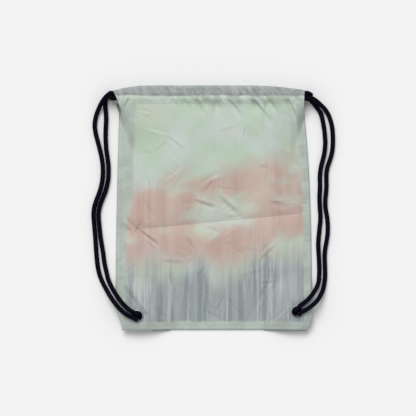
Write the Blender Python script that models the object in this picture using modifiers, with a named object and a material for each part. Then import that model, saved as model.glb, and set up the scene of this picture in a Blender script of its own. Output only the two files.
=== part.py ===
"""Drawstring backpack lying on its back: mouth to +Y, printed side up, floor at z = 0.

Lengths are metres, +Z is up, and the origin is on the floor under the middle of the bag.
"""

import math

import bmesh
import bpy
from mathutils import Vector

# Bag outline, seen from above
BAG_HEIGHT = 0.420          # bottom edge to the top of the casing
LEFT_HALF_WIDTH = 0.1687    # centre line to the left edge, low on the bag
RIGHT_HALF_WIDTH = 0.1687
LEFT_LEAN = 0.008           # how far each edge leans in by the top
RIGHT_LEAN = 0.0185
LEFT_TUCK = 0.012           # how far each lower corner is drawn in over its knot
LEFT_TUCK_HEIGHT = 0.045
RIGHT_TUCK = 0.008
RIGHT_TUCK_HEIGHT = 0.018

# Cloth
CLOTH = 0.0008              # thickness of one layer
LAYER = 0.0017              # middle of one layer to the middle of the next
SEAM_WIDTH = 0.008          # folded allowance along the sides and the bottom
POCKET_RISE = 0.010         # slack of the front panel over the middle of the pocket
FOLD_HEIGHT = -0.025        # packing fold across the front panel, at x = 0
FOLD_SLOPE = 0.0957
SLIT_LENGTH = 0.024         # side seam stops this far below the casing
SLIT_FLARE = 2.5            # inwards, the front starts to rise this many times lower below the slit
SLIT_REACH = 0.070          # and at most this much lower

# Cord and casings
CORD = 0.008                # cord diameter
CORD_PLAY = 0.0004          # free space round the cord in its casing
LEFT_MOUTH = -0.1685        # casing ends
RIGHT_MOUTH = 0.1555
TOP_DROP = 0.009            # the casing's top falls towards its ends by this much
LEFT_FALL = 0.060           # the fall starts this far from each end
RIGHT_FALL = 0.100
CASING_DEPTH = 0.032        # top edge to the stitch line, mid width
MOUTH_GAP = 0.006           # front casing to back casing
TURN_REACH = 0.0062         # how far a cord's turn stands out from its legs
LOOP_SLACK = 0.005          # straight leg of the left cord's turn outside the casing

# Eyelets, patches and knots
LEFT_EYELET_INSET = (0.0375, 0.0240)    # from the left edge line and the bottom edge
RIGHT_EYELET_INSET = (0.0257, 0.0318)
EYELET_RADIUS = 0.0115
EYELET_WALL = 0.0007
EYELET_FLANGE = 0.0012
EYELET_LIP = 0.0008
WASHER = 0.0008
PATCH_WIDTH = 0.062
PATCH_HEIGHT = 0.074
TENT_REACH = 0.057          # the cloth comes back to the floor this far from an eyelet
KNOT_WRAPS = 3
KNOT_RADIUS = 0.0080
TAIL_SPREAD = 0.015         # how far each cord tail reaches beside its knot

CLEAR = 0.0003              # gap between pieces that touch

# Free strands: points chosen along each cord from the casing mouth to the eyelet
LEFT_OUTER = (
    (-0.1768, 0.1958, 0.0216), (-0.1830, 0.1908, 0.0205), (-0.1902, 0.1825, 0.0148),
    (-0.1958, 0.1729, 0.0084), (-0.2004, 0.1622, 0.0048), (-0.2034, 0.1515, 0.0041),
    (-0.2044, 0.1405, 0.0041), (-0.2032, 0.1295, 0.0041), (-0.2006, 0.1185, 0.0041),
    (-0.1976, 0.1075, 0.0041), (-0.1948, 0.0965, 0.0041), (-0.1925, 0.0855, 0.0041),
    (-0.1908, 0.0745, 0.0041), (-0.1903, 0.0635, 0.0041), (-0.1907, 0.0525, 0.0041),
    (-0.1922, 0.0415, 0.0041), (-0.1947, 0.0312, 0.0041), (-0.1986, 0.0200, 0.0041),
    (-0.2026, 0.0095, 0.0041), (-0.2054, -0.0010, 0.0041), (-0.2064, -0.0115, 0.0041),
    (-0.2059, -0.0224, 0.0041), (-0.2049, -0.0340, 0.0041), (-0.2038, -0.0460, 0.0041),
    (-0.2030, -0.0580, 0.0041), (-0.2023, -0.0700, 0.0041), (-0.2013, -0.0820, 0.0041),
    (-0.2002, -0.0940, 0.0041), (-0.1984, -0.1060, 0.0041), (-0.1954, -0.1172, 0.0042),
    (-0.1906, -0.1290, 0.0052), (-0.1839, -0.1410, 0.0096), (-0.1766, -0.1532, 0.0152),
    (-0.1682, -0.1648, 0.0206), (-0.1586, -0.1752, 0.0257), (-0.1465, -0.1842, 0.0292),
    (-0.1324, -0.1902, 0.0292))
LEFT_INNER = (
    (-0.1866, 0.1765, 0.0041), (-0.1858, 0.1690, 0.0041), (-0.1850, 0.1600, 0.0041),
    (-0.1848, 0.1500, 0.0041), (-0.1852, 0.1400, 0.0041), (-0.1856, 0.1300, 0.0041),
    (-0.1857, 0.1200, 0.0041), (-0.1853, 0.1100, 0.0041), (-0.1846, 0.1000, 0.0041),
    (-0.1831, 0.0900, 0.0041), (-0.1817, 0.0800, 0.0041), (-0.1808, 0.0700, 0.0041),
    (-0.1807, 0.0600, 0.0041), (-0.1812, 0.0500, 0.0041), (-0.1828, 0.0400, 0.0041),
    (-0.1854, 0.0295, 0.0041), (-0.1896, 0.0185, 0.0041), (-0.1936, 0.0080, 0.0041),
    (-0.1966, -0.0020, 0.0041), (-0.1978, -0.0120, 0.0041), (-0.1974, -0.0224, 0.0041),
    (-0.1963, -0.0340, 0.0041), (-0.1950, -0.0460, 0.0041), (-0.1935, -0.0570, 0.0041),
    (-0.1916, -0.0680, 0.0041), (-0.1899, -0.0790, 0.0041), (-0.1886, -0.0890, 0.0041),
    (-0.1868, -0.1000, 0.0041), (-0.1842, -0.1110, 0.0043), (-0.1814, -0.1225, 0.0056),
    (-0.1762, -0.1345, 0.0098), (-0.1698, -0.1452, 0.0146), (-0.1624, -0.1562, 0.0200),
    (-0.1532, -0.1668, 0.0256), (-0.1416, -0.1766, 0.0292), (-0.1299, -0.1817, 0.0292))
RIGHT_OUTER = (
    (0.1598, 0.1874, 0.0216), (0.1680, 0.1866, 0.0214), (0.1758, 0.1824, 0.0190),
    (0.1832, 0.1760, 0.0148), (0.1905, 0.1690, 0.0098), (0.1968, 0.1600, 0.0058),
    (0.2008, 0.1495, 0.0042), (0.2034, 0.1385, 0.0041), (0.2046, 0.1270, 0.0041),
    (0.2049, 0.1155, 0.0041), (0.2045, 0.1040, 0.0041), (0.2028, 0.0925, 0.0041),
    (0.1994, 0.0808, 0.0041), (0.1957, 0.0700, 0.0041), (0.1938, 0.0590, 0.0041),
    (0.1936, 0.0480, 0.0041), (0.1938, 0.0370, 0.0041), (0.1930, 0.0260, 0.0041),
    (0.1920, 0.0150, 0.0041), (0.1918, 0.0050, 0.0041), (0.1928, -0.0050, 0.0041),
    (0.1946, -0.0150, 0.0041), (0.1957, -0.0250, 0.0041), (0.1961, -0.0350, 0.0041),
    (0.1957, -0.0450, 0.0041), (0.1944, -0.0550, 0.0041), (0.1927, -0.0650, 0.0041),
    (0.1911, -0.0750, 0.0041), (0.1907, -0.0850, 0.0041), (0.1910, -0.0960, 0.0041),
    (0.1913, -0.1070, 0.0041), (0.1914, -0.1180, 0.0041), (0.1903, -0.1290, 0.0046),
    (0.1880, -0.1396, 0.0078), (0.1832, -0.1508, 0.0140), (0.1752, -0.1616, 0.0215),
    (0.1650, -0.1700, 0.0272), (0.1550, -0.1762, 0.0292), (0.1458, -0.1813, 0.0292))
RIGHT_INNER = (
    (0.1849, 0.1592, 0.0041), (0.1872, 0.1500, 0.0041), (0.1890, 0.1400, 0.0041),
    (0.1905, 0.1300, 0.0041), (0.1913, 0.1200, 0.0041), (0.1917, 0.1110, 0.0041),
    (0.1911, 0.1010, 0.0041), (0.1896, 0.0910, 0.0041), (0.1871, 0.0808, 0.0041),
    (0.1845, 0.0700, 0.0041), (0.1830, 0.0600, 0.0041), (0.1824, 0.0500, 0.0041),
    (0.1827, 0.0400, 0.0041), (0.1824, 0.0295, 0.0041), (0.1819, 0.0190, 0.0041),
    (0.1821, 0.0086, 0.0041), (0.1825, -0.0017, 0.0041), (0.1833, -0.0120, 0.0041),
    (0.1833, -0.0224, 0.0041), (0.1822, -0.0327, 0.0041), (0.1812, -0.0430, 0.0041),
    (0.1802, -0.0533, 0.0041), (0.1797, -0.0640, 0.0041), (0.1801, -0.0745, 0.0041),
    (0.1808, -0.0850, 0.0041), (0.1813, -0.0960, 0.0041), (0.1815, -0.1070, 0.0041),
    (0.1812, -0.1175, 0.0046), (0.1799, -0.1285, 0.0084), (0.1748, -0.1400, 0.0150),
    (0.1680, -0.1500, 0.0212), (0.1590, -0.1592, 0.0262), (0.1494, -0.1664, 0.0292),
    (0.1402, -0.1751, 0.0292))

# Short leads that stay put, from the back casing to the upper ends of the inner strands
LEFT_LEAD = (
    (-0.1688, 0.1958, 0.0052), (-0.1700, 0.1958, 0.0052), (-0.1741, 0.1953, 0.0051),
    (-0.1780, 0.1937, 0.0050), (-0.1813, 0.1912, 0.0047), (-0.1840, 0.1878, 0.0044),
    (-0.1857, 0.1840, 0.0042), (-0.1863, 0.1808, 0.0041))
RIGHT_LEAD = (
    (0.1558, 0.1874, 0.0052), (0.1580, 0.1873, 0.0051), (0.1618, 0.1867, 0.0050),
    (0.1656, 0.1851, 0.0047), (0.1689, 0.1825, 0.0044), (0.1729, 0.1778, 0.0042),
    (0.1768, 0.1727, 0.0041), (0.1805, 0.1676, 0.0041), (0.1832, 0.1632, 0.0041))

# Derived places
BOTTOM = -BAG_HEIGHT / 2
TOP = BAG_HEIGHT / 2
STITCH_LINE = TOP - CASING_DEPTH
SEAM_TOP = STITCH_LINE - SLIT_LENGTH
CASING_THICK = CORD + 2 * CORD_PLAY + 2 * CLOTH
MOUTH_TOP = TOP - TOP_DROP                      # top edge at both casing ends
CORD_DEPTHS = (CASING_THICK / 2, CASING_THICK / 2 + CORD + CORD_PLAY)   # below the casing ends' top
CORD_ZONE = CORD_DEPTHS[1] + CASING_THICK / 2
TIP_THICK = 3 * CLOTH
FRONT_TIP = (CASING_THICK - TIP_THICK) / 2      # the front casing is sewn at half its thickness
FRONT_FLOOR = CASING_THICK + MOUTH_GAP          # underside of the front casing
TENT = 2 * KNOT_RADIUS + EYELET_LIP + WASHER + 3 * CLEAR    # back panel above the floor there
BORE = CORD + CORD_PLAY / 2 + CLEAR
LEFT_EYELET = (LEFT_EYELET_INSET[0] - LEFT_HALF_WIDTH, BOTTOM + LEFT_EYELET_INSET[1])
RIGHT_EYELET = (RIGHT_HALF_WIDTH - RIGHT_EYELET_INSET[0], BOTTOM + RIGHT_EYELET_INSET[1])
FLANGE_BOTTOM = TENT + CLOTH + 2 * LAYER + CLEAR
FLANGE_TOP = FLANGE_BOTTOM + EYELET_FLANGE


def smoothstep(low, high, value):
    t = min(max((value - low) / (high - low), 0.0), 1.0)
    return t * t * (3 - 2 * t)


def left_edge(y):
    t = (y - BOTTOM) / BAG_HEIGHT
    tuck = LEFT_TUCK * (1 - smoothstep(0, LEFT_TUCK_HEIGHT, y - BOTTOM))
    return -LEFT_HALF_WIDTH + LEFT_LEAN * t ** 2 + tuck


def right_edge(y):
    t = (y - BOTTOM) / BAG_HEIGHT
    tuck = RIGHT_TUCK * (1 - smoothstep(0, RIGHT_TUCK_HEIGHT, y - BOTTOM))
    return RIGHT_HALF_WIDTH - RIGHT_LEAN * t ** 3 - tuck


def top_edge(x):
    """Top of the casing, which falls in a curve towards both mouths."""
    left = max(1 - (x - LEFT_MOUTH) / LEFT_FALL, 0.0)
    right = max(1 - (RIGHT_MOUTH - x) / RIGHT_FALL, 0.0)
    return TOP - TOP_DROP * (left ** 2 + right ** 2)


def fold_line(x):
    return FOLD_HEIGHT + FOLD_SLOPE * x


def from_eyelet(x, y):
    """Distance from the flat ring of cloth that the nearer eyelet clamps."""
    return min(math.hypot(x - cx, y - cy) for cx, cy in (LEFT_EYELET, RIGHT_EYELET)) - EYELET_RADIUS - 0.0015


def corner_lift(x, y):
    """Height of the tent that each knot makes under its eyelet."""
    t = min(max(from_eyelet(x, y) / TENT_REACH, 0.0), 1.0)
    return TENT * (1 + math.cos(math.pi * t)) / 2


def back_level(x, y):
    return CLOTH / 2 + corner_lift(x, y)


def front_level(x, y):
    """Middle of the front panel: sewn to the back at its edges, slack over the pocket."""
    inset = min(x - left_edge(y), right_edge(y) - x)
    side = smoothstep(SEAM_WIDTH + 0.001, 0.080, inset)
    rise_start = SEAM_TOP - min(max(SLIT_FLARE * inset, 0.0), SLIT_REACH)
    side += (1 - side) * smoothstep(rise_start, STITCH_LINE, y)
    side *= smoothstep(0, 0.040, from_eyelet(x, y))
    top_rise = FRONT_FLOOR + FRONT_TIP + TIP_THICK / 2 - CLOTH / 2 - 2 * LAYER
    rise = POCKET_RISE * smoothstep(BOTTOM + SEAM_WIDTH + 0.001, BOTTOM + 0.125, y)
    rise += (top_rise - POCKET_RISE) * smoothstep(FOLD_HEIGHT, STITCH_LINE, y)
    return back_level(x, y) + 2 * LAYER + rise * side


for stray in list(bpy.data.objects):
    bpy.data.objects.remove(stray)

parts = bpy.data.collections.new("drawstring_backpack")
cutters = bpy.data.collections.new("cutters")
for group in (parts, cutters):
    bpy.context.scene.collection.children.link(group)


def material(name, colour, roughness, metallic=0.0):
    made = bpy.data.materials.new(name)
    made.use_nodes = True
    shader = made.node_tree.nodes["Principled BSDF"]
    shader.inputs["Base Color"].default_value = (*colour, 1)
    shader.inputs["Roughness"].default_value = roughness
    shader.inputs["Metallic"].default_value = metallic
    return made


PRINTED = material("printed_polyester", (0.49, 0.58, 0.50), 0.7)
LINING = material("seam_polyester", (0.62, 0.66, 0.64), 0.75)
BRAID = material("braided_cord", (0.006, 0.006, 0.015), 0.8)
NICKEL = material("satin_nickel", (0.72, 0.74, 0.78), 0.3, 1.0)


def add_part(name, data, finish):
    made = bpy.data.objects.new(name, data)
    parts.objects.link(made)
    data.materials.append(finish)
    return made


def spread(t, amount=0.45):
    """Even steps crowded towards both ends."""
    return t - amount * math.sin(2 * math.pi * t) / (2 * math.pi)


def cloth(name, columns, rows, point, finish, cuts=()):
    """A sheet of cloth from a grid: point(u, v) gives each corner's place."""
    sheet = bmesh.new()
    bmesh.ops.create_grid(sheet, x_segments=columns, y_segments=rows, size=1)
    for vert in sheet.verts:
        vert.co = point((vert.co.x + 1) / 2, (vert.co.y + 1) / 2)
    mesh = bpy.data.meshes.new(name)
    sheet.to_mesh(mesh)
    sheet.free()
    made = add_part(name, mesh, finish)
    thick = made.modifiers.new("cloth", "SOLIDIFY")
    thick.thickness = CLOTH
    thick.offset = 0
    for cutter in cuts:
        hole = made.modifiers.new("eyelet_hole", "BOOLEAN")
        hole.operation = "DIFFERENCE"
        hole.solver = "EXACT"
        hole.object = cutter
    return made


def panel(name, columns, rows, low, high, crowd, level, cuts=()):
    """A panel between the side edges, from the line low(x) to the line high(x)."""
    def point(u, v):
        u = spread(u)
        v = v * (1 - crowd + crowd * v)
        y = low(0) + v * (high(0) - low(0))
        for _ in range(3):
            x = left_edge(y) + u * (right_edge(y) - left_edge(y))
            y = low(x) + v * (high(x) - low(x))
        return x, y, level(x, y)
    return cloth(name, columns, rows, point, PRINTED, cuts)


def strip(name, count, path, across):
    """A folded seam allowance between the panels, SEAM_WIDTH wide along a path."""
    def point(u, v):
        x, y = path(v)
        x, y = x + across[0] * u * SEAM_WIDTH, y + across[1] * u * SEAM_WIDTH
        return x, y, back_level(x, y) + LAYER
    return cloth(name, 2, count, point, LINING)


def turned(name, centre, profile, finish):
    """A ring turned about the vertical line through centre from a closed profile."""
    mesh = bpy.data.meshes.new(name)
    count = len(profile)
    mesh.from_pydata([(r, 0, z) for r, z in profile], [(i, (i + 1) % count) for i in range(count)], [])
    made = add_part(name, mesh, finish)
    made.location = (*centre, 0)
    screw = made.modifiers.new("turn", "SCREW")
    screw.steps = screw.render_steps = 20
    screw.use_merge_vertices = True
    screw.merge_threshold = 0.00001
    return made


def smooth_route(points, step):
    """Points about one step apart on a smooth curve through the chosen points."""
    points = [Vector(p) for p in points]
    ends = [2 * points[0] - points[1]] + points + [2 * points[-1] - points[-2]]
    fine = []
    for a, b, c, d in zip(ends, ends[1:], ends[2:], ends[3:]):
        for k in range(16):
            t = k / 16
            fine.append(0.5 * (2 * b + (c - a) * t + (2 * a - 5 * b + 4 * c - d) * t ** 2
                               + (3 * b - a - 3 * c + d) * t ** 3))
    fine.append(points[-1])
    reach = [0.0]
    for a, b in zip(fine, fine[1:]):
        reach.append(reach[-1] + (b - a).length)
    count = max(2, round(reach[-1] / step))
    route, k = [], 0
    for i in range(count + 1):
        target = reach[-1] * i / count
        while k < len(fine) - 2 and reach[k + 1] < target:
            k += 1
        t = (target - reach[k]) / (reach[k + 1] - reach[k])
        route.append(fine[k].lerp(fine[k + 1], t))
    return route


def cord(name, route, rounded=False):
    """A cord tube; rounded ends are half balls, so a strand can turn about its end points."""
    route = [(p, 1.0) for p in route]
    if rounded:
        for at, inward in ((0, 1), (-1, -2)):
            end = route[at][0]
            out = (end - route[inward][0]).normalized() * CORD / 2
            caps = [(end + out * far, size) for far, size in ((0.5, 0.87), (0.83, 0.56), (0.96, 0.28))]
            route = caps[::-1] + route if at == 0 else route + caps
    curve = bpy.data.curves.new(name, "CURVE")
    curve.dimensions = "3D"
    curve.bevel_depth = CORD / 2
    curve.bevel_resolution = 2
    curve.use_fill_caps = True
    line = curve.splines.new("POLY")
    line.points.add(len(route) - 1)
    for vert, (place, size) in zip(line.points, route):
        vert.co = (*place, 1)
        vert.radius = size
    return add_part(name, curve, BRAID)


def cutter_at(name, centre):
    cutter = bpy.data.meshes.new(name)
    drum = bmesh.new()
    bmesh.ops.create_cone(drum, cap_ends=True, segments=24, radius1=BORE + EYELET_WALL + CLEAR,
                          radius2=BORE + EYELET_WALL + CLEAR, depth=0.02)
    drum.to_mesh(cutter)
    drum.free()
    made = bpy.data.objects.new(name, cutter)
    cutters.objects.link(made)
    made.location = (*centre, TENT)
    made.hide_render = True
    made.display_type = "WIRE"
    return made


# Panels
left_hole = cutter_at("left_eyelet_hole", LEFT_EYELET)
right_hole = cutter_at("right_eyelet_hole", RIGHT_EYELET)
panel("back_panel", 28, 22, lambda x: BOTTOM, lambda x: STITCH_LINE - CLEAR, 0.6, back_level,
      (left_hole, right_hole))
panel("front_panel_lower", 28, 13, lambda x: BOTTOM, lambda x: fold_line(x) - CLEAR / 2, 0.3,
      front_level, (left_hole, right_hole))
front_upper = panel("front_panel_upper", 16, 8, lambda x: fold_line(x) + CLEAR / 2,
                    lambda x: STITCH_LINE - CLEAR, -0.3, front_level)

# Seam allowances and corner patches, between the panels
side_low = BOTTOM + SEAM_WIDTH + 2 * CLEAR
strip("left_side_seam", 30, lambda v: (left_edge(side_low + v * (SEAM_TOP - side_low)),
                                       side_low + v * (SEAM_TOP - side_low)), (1, 0))
strip("right_side_seam", 30, lambda v: (right_edge(side_low + v * (SEAM_TOP - side_low)) - SEAM_WIDTH,
                                        side_low + v * (SEAM_TOP - side_low)), (1, 0))
bottom_left, bottom_right = left_edge(BOTTOM) + 0.001, right_edge(BOTTOM) - 0.001
strip("bottom_seam", 36, lambda v: (bottom_right + spread(v) * (bottom_left - bottom_right), BOTTOM), (0, 1))


def patch(name, edge, inward, cut):
    def point(u, v):
        y = BOTTOM + SEAM_WIDTH + 0.0015 + v * PATCH_HEIGHT
        width = PATCH_WIDTH * (1 - 0.9 * v)
        along = u if inward > 0 else 1 - u
        x = edge(y) + inward * (SEAM_WIDTH + 0.0015 + along * width)
        return x, y, back_level(x, y) + LAYER
    cloth(name, 8, 9, point, LINING, (cut,))


patch("left_corner_patch", left_edge, 1, left_hole)
patch("right_corner_patch", right_edge, -1, right_hole)


def casing(name, floor, tip, finish):
    """Open-ended cloth tunnel: round over the two cords, flat along the stitch line at the height tip."""
    columns, half = 18, CASING_THICK / 2
    round_end = [(half - half * math.sin(a), half - half * math.cos(a))
                 for a in (math.pi * k / 6 for k in range(7))]
    tunnel = bmesh.new()
    rings = []
    for i in range(columns + 1):
        x = LEFT_MOUTH + spread(i / columns) * (RIGHT_MOUTH - LEFT_MOUTH)
        y = top_edge(x)
        open_end = smoothstep(0, 0.030, min(x - LEFT_MOUTH, RIGHT_MOUTH - x))
        zone = y - MOUTH_TOP + CORD_ZONE        # the cords run straight under the bowed edge
        depth = zone + 0.0008 + open_end * (y - STITCH_LINE - zone - 0.0008)
        knee = zone - half * 0.35
        section = [(depth, tip), ((knee + depth) / 2, tip / 2), (knee, 0.0)] + round_end + [
            (knee, CASING_THICK), ((knee + depth) / 2, (CASING_THICK + tip + TIP_THICK) / 2),
            (depth, tip + TIP_THICK)]
        rings.append([tunnel.verts.new((x, y - down, floor + up)) for down, up in section])
    count = len(rings[0])
    for a, b in zip(rings, rings[1:]):
        for j in range(count):
            k = (j + 1) % count
            tunnel.faces.new((a[j], a[k], b[k], b[j]))
    mesh = bpy.data.meshes.new(name)
    tunnel.to_mesh(mesh)
    tunnel.free()
    made = add_part(name, mesh, finish)
    thick = made.modifiers.new("cloth", "SOLIDIFY")
    thick.thickness = CLOTH
    thick.offset = -1
    return made


casing("back_casing", 0.0, 0.0, PRINTED)
front_casing = casing("front_casing", FRONT_FLOOR, FRONT_TIP, PRINTED)


# Cords in the casings
def run(name, depth, floor):
    y, z = MOUTH_TOP - depth, floor + CASING_THICK / 2
    return cord(name, [Vector((LEFT_MOUTH, y, z)), Vector((RIGHT_MOUTH, y, z))])


def turn(name, mouth, out, depth, leg):
    y = MOUTH_TOP - depth
    low, high = CASING_THICK / 2, FRONT_FLOOR + CASING_THICK / 2
    start, full = mouth + out * CLEAR, TURN_REACH
    middle, half = (low + high) / 2, (high - low) / 2
    bow = [(start + out * (leg + full * math.cos(a)), y, middle + half * math.sin(a))
           for a in (math.pi / 2 - math.pi * k / 12 for k in range(13))]
    line = [(start, y, high)] + bow + [(start, y, low)]
    return cord(name, [Vector(p) for p in line])


left_front = run("left_cord_front_run", CORD_DEPTHS[0], FRONT_FLOOR)
left_back = run("left_cord_back_run", CORD_DEPTHS[0], 0.0)
left_turn = turn("left_cord_turn", RIGHT_MOUTH, 1, CORD_DEPTHS[0], LOOP_SLACK)
right_front = run("right_cord_front_run", CORD_DEPTHS[1], FRONT_FLOOR)
run("right_cord_back_run", CORD_DEPTHS[1], 0.0)
turn("right_cord_turn", LEFT_MOUTH, -1, CORD_DEPTHS[1], 0.0005)

# Free strands
strands = {}
for name, points in (("left_outer_strand", LEFT_OUTER), ("left_inner_strand", LEFT_INNER),
                     ("right_outer_strand", RIGHT_OUTER), ("right_inner_strand", RIGHT_INNER)):
    strands[name] = cord(name, smooth_route(points, 2 * CORD), rounded=True)

cord("left_inner_cord_lead", smooth_route(LEFT_LEAD, 0.4 * CORD))
cord("right_inner_cord_lead", smooth_route(RIGHT_LEAD, 0.4 * CORD))

# Eyelets, washers, knots and cord ends
for side, centre, ends in (("left", LEFT_EYELET, (LEFT_OUTER[-1], LEFT_INNER[-1])),
                           ("right", RIGHT_EYELET, (RIGHT_OUTER[-1], RIGHT_INNER[-1]))):
    barrel = BORE + EYELET_WALL
    lip_top = TENT - WASHER - 2 * CLEAR
    turned(f"{side}_eyelet", centre, [
        (BORE + 0.0010, FLANGE_TOP), (EYELET_RADIUS - 0.0010, FLANGE_TOP),
        (EYELET_RADIUS, FLANGE_TOP - 0.0006), (EYELET_RADIUS, FLANGE_BOTTOM), (barrel, FLANGE_BOTTOM),
        (barrel, lip_top), (EYELET_RADIUS - 0.0013, lip_top), (EYELET_RADIUS - 0.0013, lip_top - EYELET_LIP),
        (BORE, lip_top - EYELET_LIP), (BORE, FLANGE_TOP - 0.0007)], NICKEL)
    washer_low = TENT - CLEAR - WASHER
    turned(f"{side}_eyelet_washer", centre, [
        (barrel + CLEAR, washer_low + WASHER), (EYELET_RADIUS, washer_low + WASHER),
        (EYELET_RADIUS, washer_low), (barrel + CLEAR, washer_low)], NICKEL)

    half = KNOT_WRAPS * CORD / 2
    wraps = []
    for k in range(KNOT_WRAPS * 4 + 1):
        a = k / (KNOT_WRAPS * 4)
        bulge = abs(math.sin(math.pi * KNOT_WRAPS * a)) ** 0.6
        wraps.append((KNOT_RADIUS * (0.76 + 0.24 * bulge), half - 2 * half * a))
    mesh = bpy.data.meshes.new(f"{side}_knot")
    line = [(0, 0, half)] + [(r, 0, z) for r, z in wraps] + [(0, 0, -half)]
    mesh.from_pydata(line, [(i, i + 1) for i in range(len(line) - 1)], [])
    knot = add_part(f"{side}_knot", mesh, BRAID)
    knot.location = (*centre, KNOT_RADIUS)
    knot.rotation_euler = (0, math.pi / 2, 0)
    wind = knot.modifiers.new("wind", "SCREW")
    wind.steps = wind.render_steps = 12
    wind.use_merge_vertices = True
    wind.merge_threshold = 0.00001

    apart = (Vector(ends[1]) - Vector(ends[0])).to_2d().normalized() * (CORD + CORD_PLAY) / 2
    for where, away, out in zip(("outer", "inner"), (-apart, apart), (-1, 1) if side == "left" else (1, -1)):
        place = Vector((centre[0] + away.x, centre[1] + away.y, 0))
        cord(f"{side}_{where}_cord_end", [
            place + Vector((0, 0, z)) for z in (FLANGE_TOP + 0.0002, TENT, 2 * KNOT_RADIUS + CLEAR)])
        start = Vector((centre[0] + out * (half + CLEAR), centre[1], KNOT_RADIUS))
        low = CORD / 2 + 0.0001
        cord(f"{side}_{where}_cord_tail", smooth_route([
            start, start + Vector((out * 0.4 * TAIL_SPREAD, 0, 0)),
            Vector((start.x + out * 0.65 * TAIL_SPREAD, start.y + 0.4 * TAIL_SPREAD, low + 0.0015)),
            Vector((start.x + out * 0.7 * TAIL_SPREAD, start.y + TAIL_SPREAD, low))], 0.4 * TAIL_SPREAD))


def pivot(name, place, axis, pieces):
    """An empty on a joint's axis, along its own Z, that carries the pieces that move on it."""
    empty = bpy.data.objects.new(name, None)
    parts.objects.link(empty)
    empty.location = place
    empty.rotation_mode = "QUATERNION"
    empty.rotation_quaternion = Vector(axis).to_track_quat("Z", "Y")
    bpy.context.view_layer.update()
    for piece in pieces:
        piece.parent = empty
        piece.matrix_parent_inverse = empty.matrix_world.inverted()
    return empty


hinge_height = front_level(0, FOLD_HEIGHT) + CLOTH / 2
pivot("mouth_hinge", (0, FOLD_HEIGHT, hinge_height), (1, FOLD_SLOPE, 0),
      (front_upper, front_casing, left_front, right_front))
pivot("left_cord_slide", (RIGHT_MOUTH, MOUTH_TOP - CORD_DEPTHS[0], CASING_THICK / 2),
      (1, 0, 0), (left_back, left_turn))
for name, points in (("left_outer_strand", LEFT_OUTER), ("left_inner_strand", LEFT_INNER),
                     ("right_outer_strand", RIGHT_OUTER), ("right_inner_strand", RIGHT_INNER)):
    upper, lower = Vector(points[0]), Vector(points[-1])
    pivot(name.replace("strand", "swing"), lower, upper - lower, (strands[name],))
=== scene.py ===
"""Finished look of the drawstring backpack, lying on its back with the dyed side up.

Metres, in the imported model's frame: +Y runs from the bottom seam to the mouth, and the floor is z = 0.
"""

import math

import bpy
import numpy as np
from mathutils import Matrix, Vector


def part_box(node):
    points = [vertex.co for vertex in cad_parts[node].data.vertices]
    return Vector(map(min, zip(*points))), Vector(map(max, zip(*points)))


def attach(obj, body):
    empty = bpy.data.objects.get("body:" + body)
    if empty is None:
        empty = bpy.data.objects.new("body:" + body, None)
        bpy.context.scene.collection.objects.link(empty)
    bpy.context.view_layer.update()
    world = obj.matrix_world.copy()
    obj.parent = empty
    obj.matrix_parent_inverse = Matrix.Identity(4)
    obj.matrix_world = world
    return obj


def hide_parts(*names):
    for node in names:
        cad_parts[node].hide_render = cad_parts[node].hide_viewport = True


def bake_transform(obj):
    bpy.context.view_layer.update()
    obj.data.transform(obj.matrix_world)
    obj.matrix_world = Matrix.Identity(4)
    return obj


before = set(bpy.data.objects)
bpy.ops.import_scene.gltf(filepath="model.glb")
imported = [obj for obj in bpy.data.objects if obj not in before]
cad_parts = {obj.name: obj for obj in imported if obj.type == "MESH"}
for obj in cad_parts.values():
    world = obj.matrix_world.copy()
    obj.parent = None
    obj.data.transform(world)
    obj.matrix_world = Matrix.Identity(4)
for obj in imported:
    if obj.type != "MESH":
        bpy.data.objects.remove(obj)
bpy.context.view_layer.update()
TAU = 2 * math.pi

# Places read from the frame
PANEL_LOW, PANEL_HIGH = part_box("back_panel")
CASING_LOW, CASING_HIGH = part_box("front_casing")
EYELET_LOW, EYELET_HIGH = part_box("left_eyelet")
BOTTOM, STITCH_LINE, TOP = PANEL_LOW.y, PANEL_HIGH.y, CASING_HIGH.y
LEFT_SIDE, RIGHT_SIDE = PANEL_LOW.x, PANEL_HIGH.x
LEFT_MOUTH, RIGHT_MOUTH = CASING_LOW.x, CASING_HIGH.x
FRONT_FLOOR = CASING_LOW.z
CASING_THICK = CASING_HIGH.z - CASING_LOW.z
EYELET_RADIUS = (EYELET_HIGH.x - EYELET_LOW.x) / 2
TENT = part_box("left_eyelet_washer")[1].z
EYELETS = {side: sum(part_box(f"{side}_eyelet"), Vector()) / 2 for side in ("left", "right")}
INWARD = {"left": 1, "right": -1}

# Eyelets
BORE_RADIUS = 0.0087
BARREL = BORE_RADIUS + 0.0006           # outside of an eyelet's barrel
PUNCH_RADIUS = BORE_RADIUS + 0.0008     # hole in the cloth round the barrel
WASHER_PLAY = 0.0003
FLANGE_CURL = EYELET_RADIUS - 0.0013    # the barrel's lower end is rolled out to here
CURL_THICK = 0.0007
RING_ROUND, WASHER_ROUND = 0.0004, 0.0003

# Bag outline and slack, as in the model
LEFT_LEAN, RIGHT_LEAN = 0.008, 0.0185
LEFT_TUCK, LEFT_TUCK_HEIGHT = 0.012, 0.045
RIGHT_TUCK, RIGHT_TUCK_HEIGHT = 0.008, 0.018
TOP_DROP, LEFT_FALL, RIGHT_FALL = 0.009, 0.060, 0.100
FOLD_HEIGHT, FOLD_SLOPE = -0.025, 0.0957
SLIT_LENGTH = 0.024
SLIT_FLARE, SLIT_REACH = 2.5, 0.070
POCKET_RISE = 0.0085
PANEL_GAP = 0.0034
TENT_REACH = 0.057
SEAM_TOP = STITCH_LINE - SLIT_LENGTH
MOUTH_TOP = TOP - TOP_DROP

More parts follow.
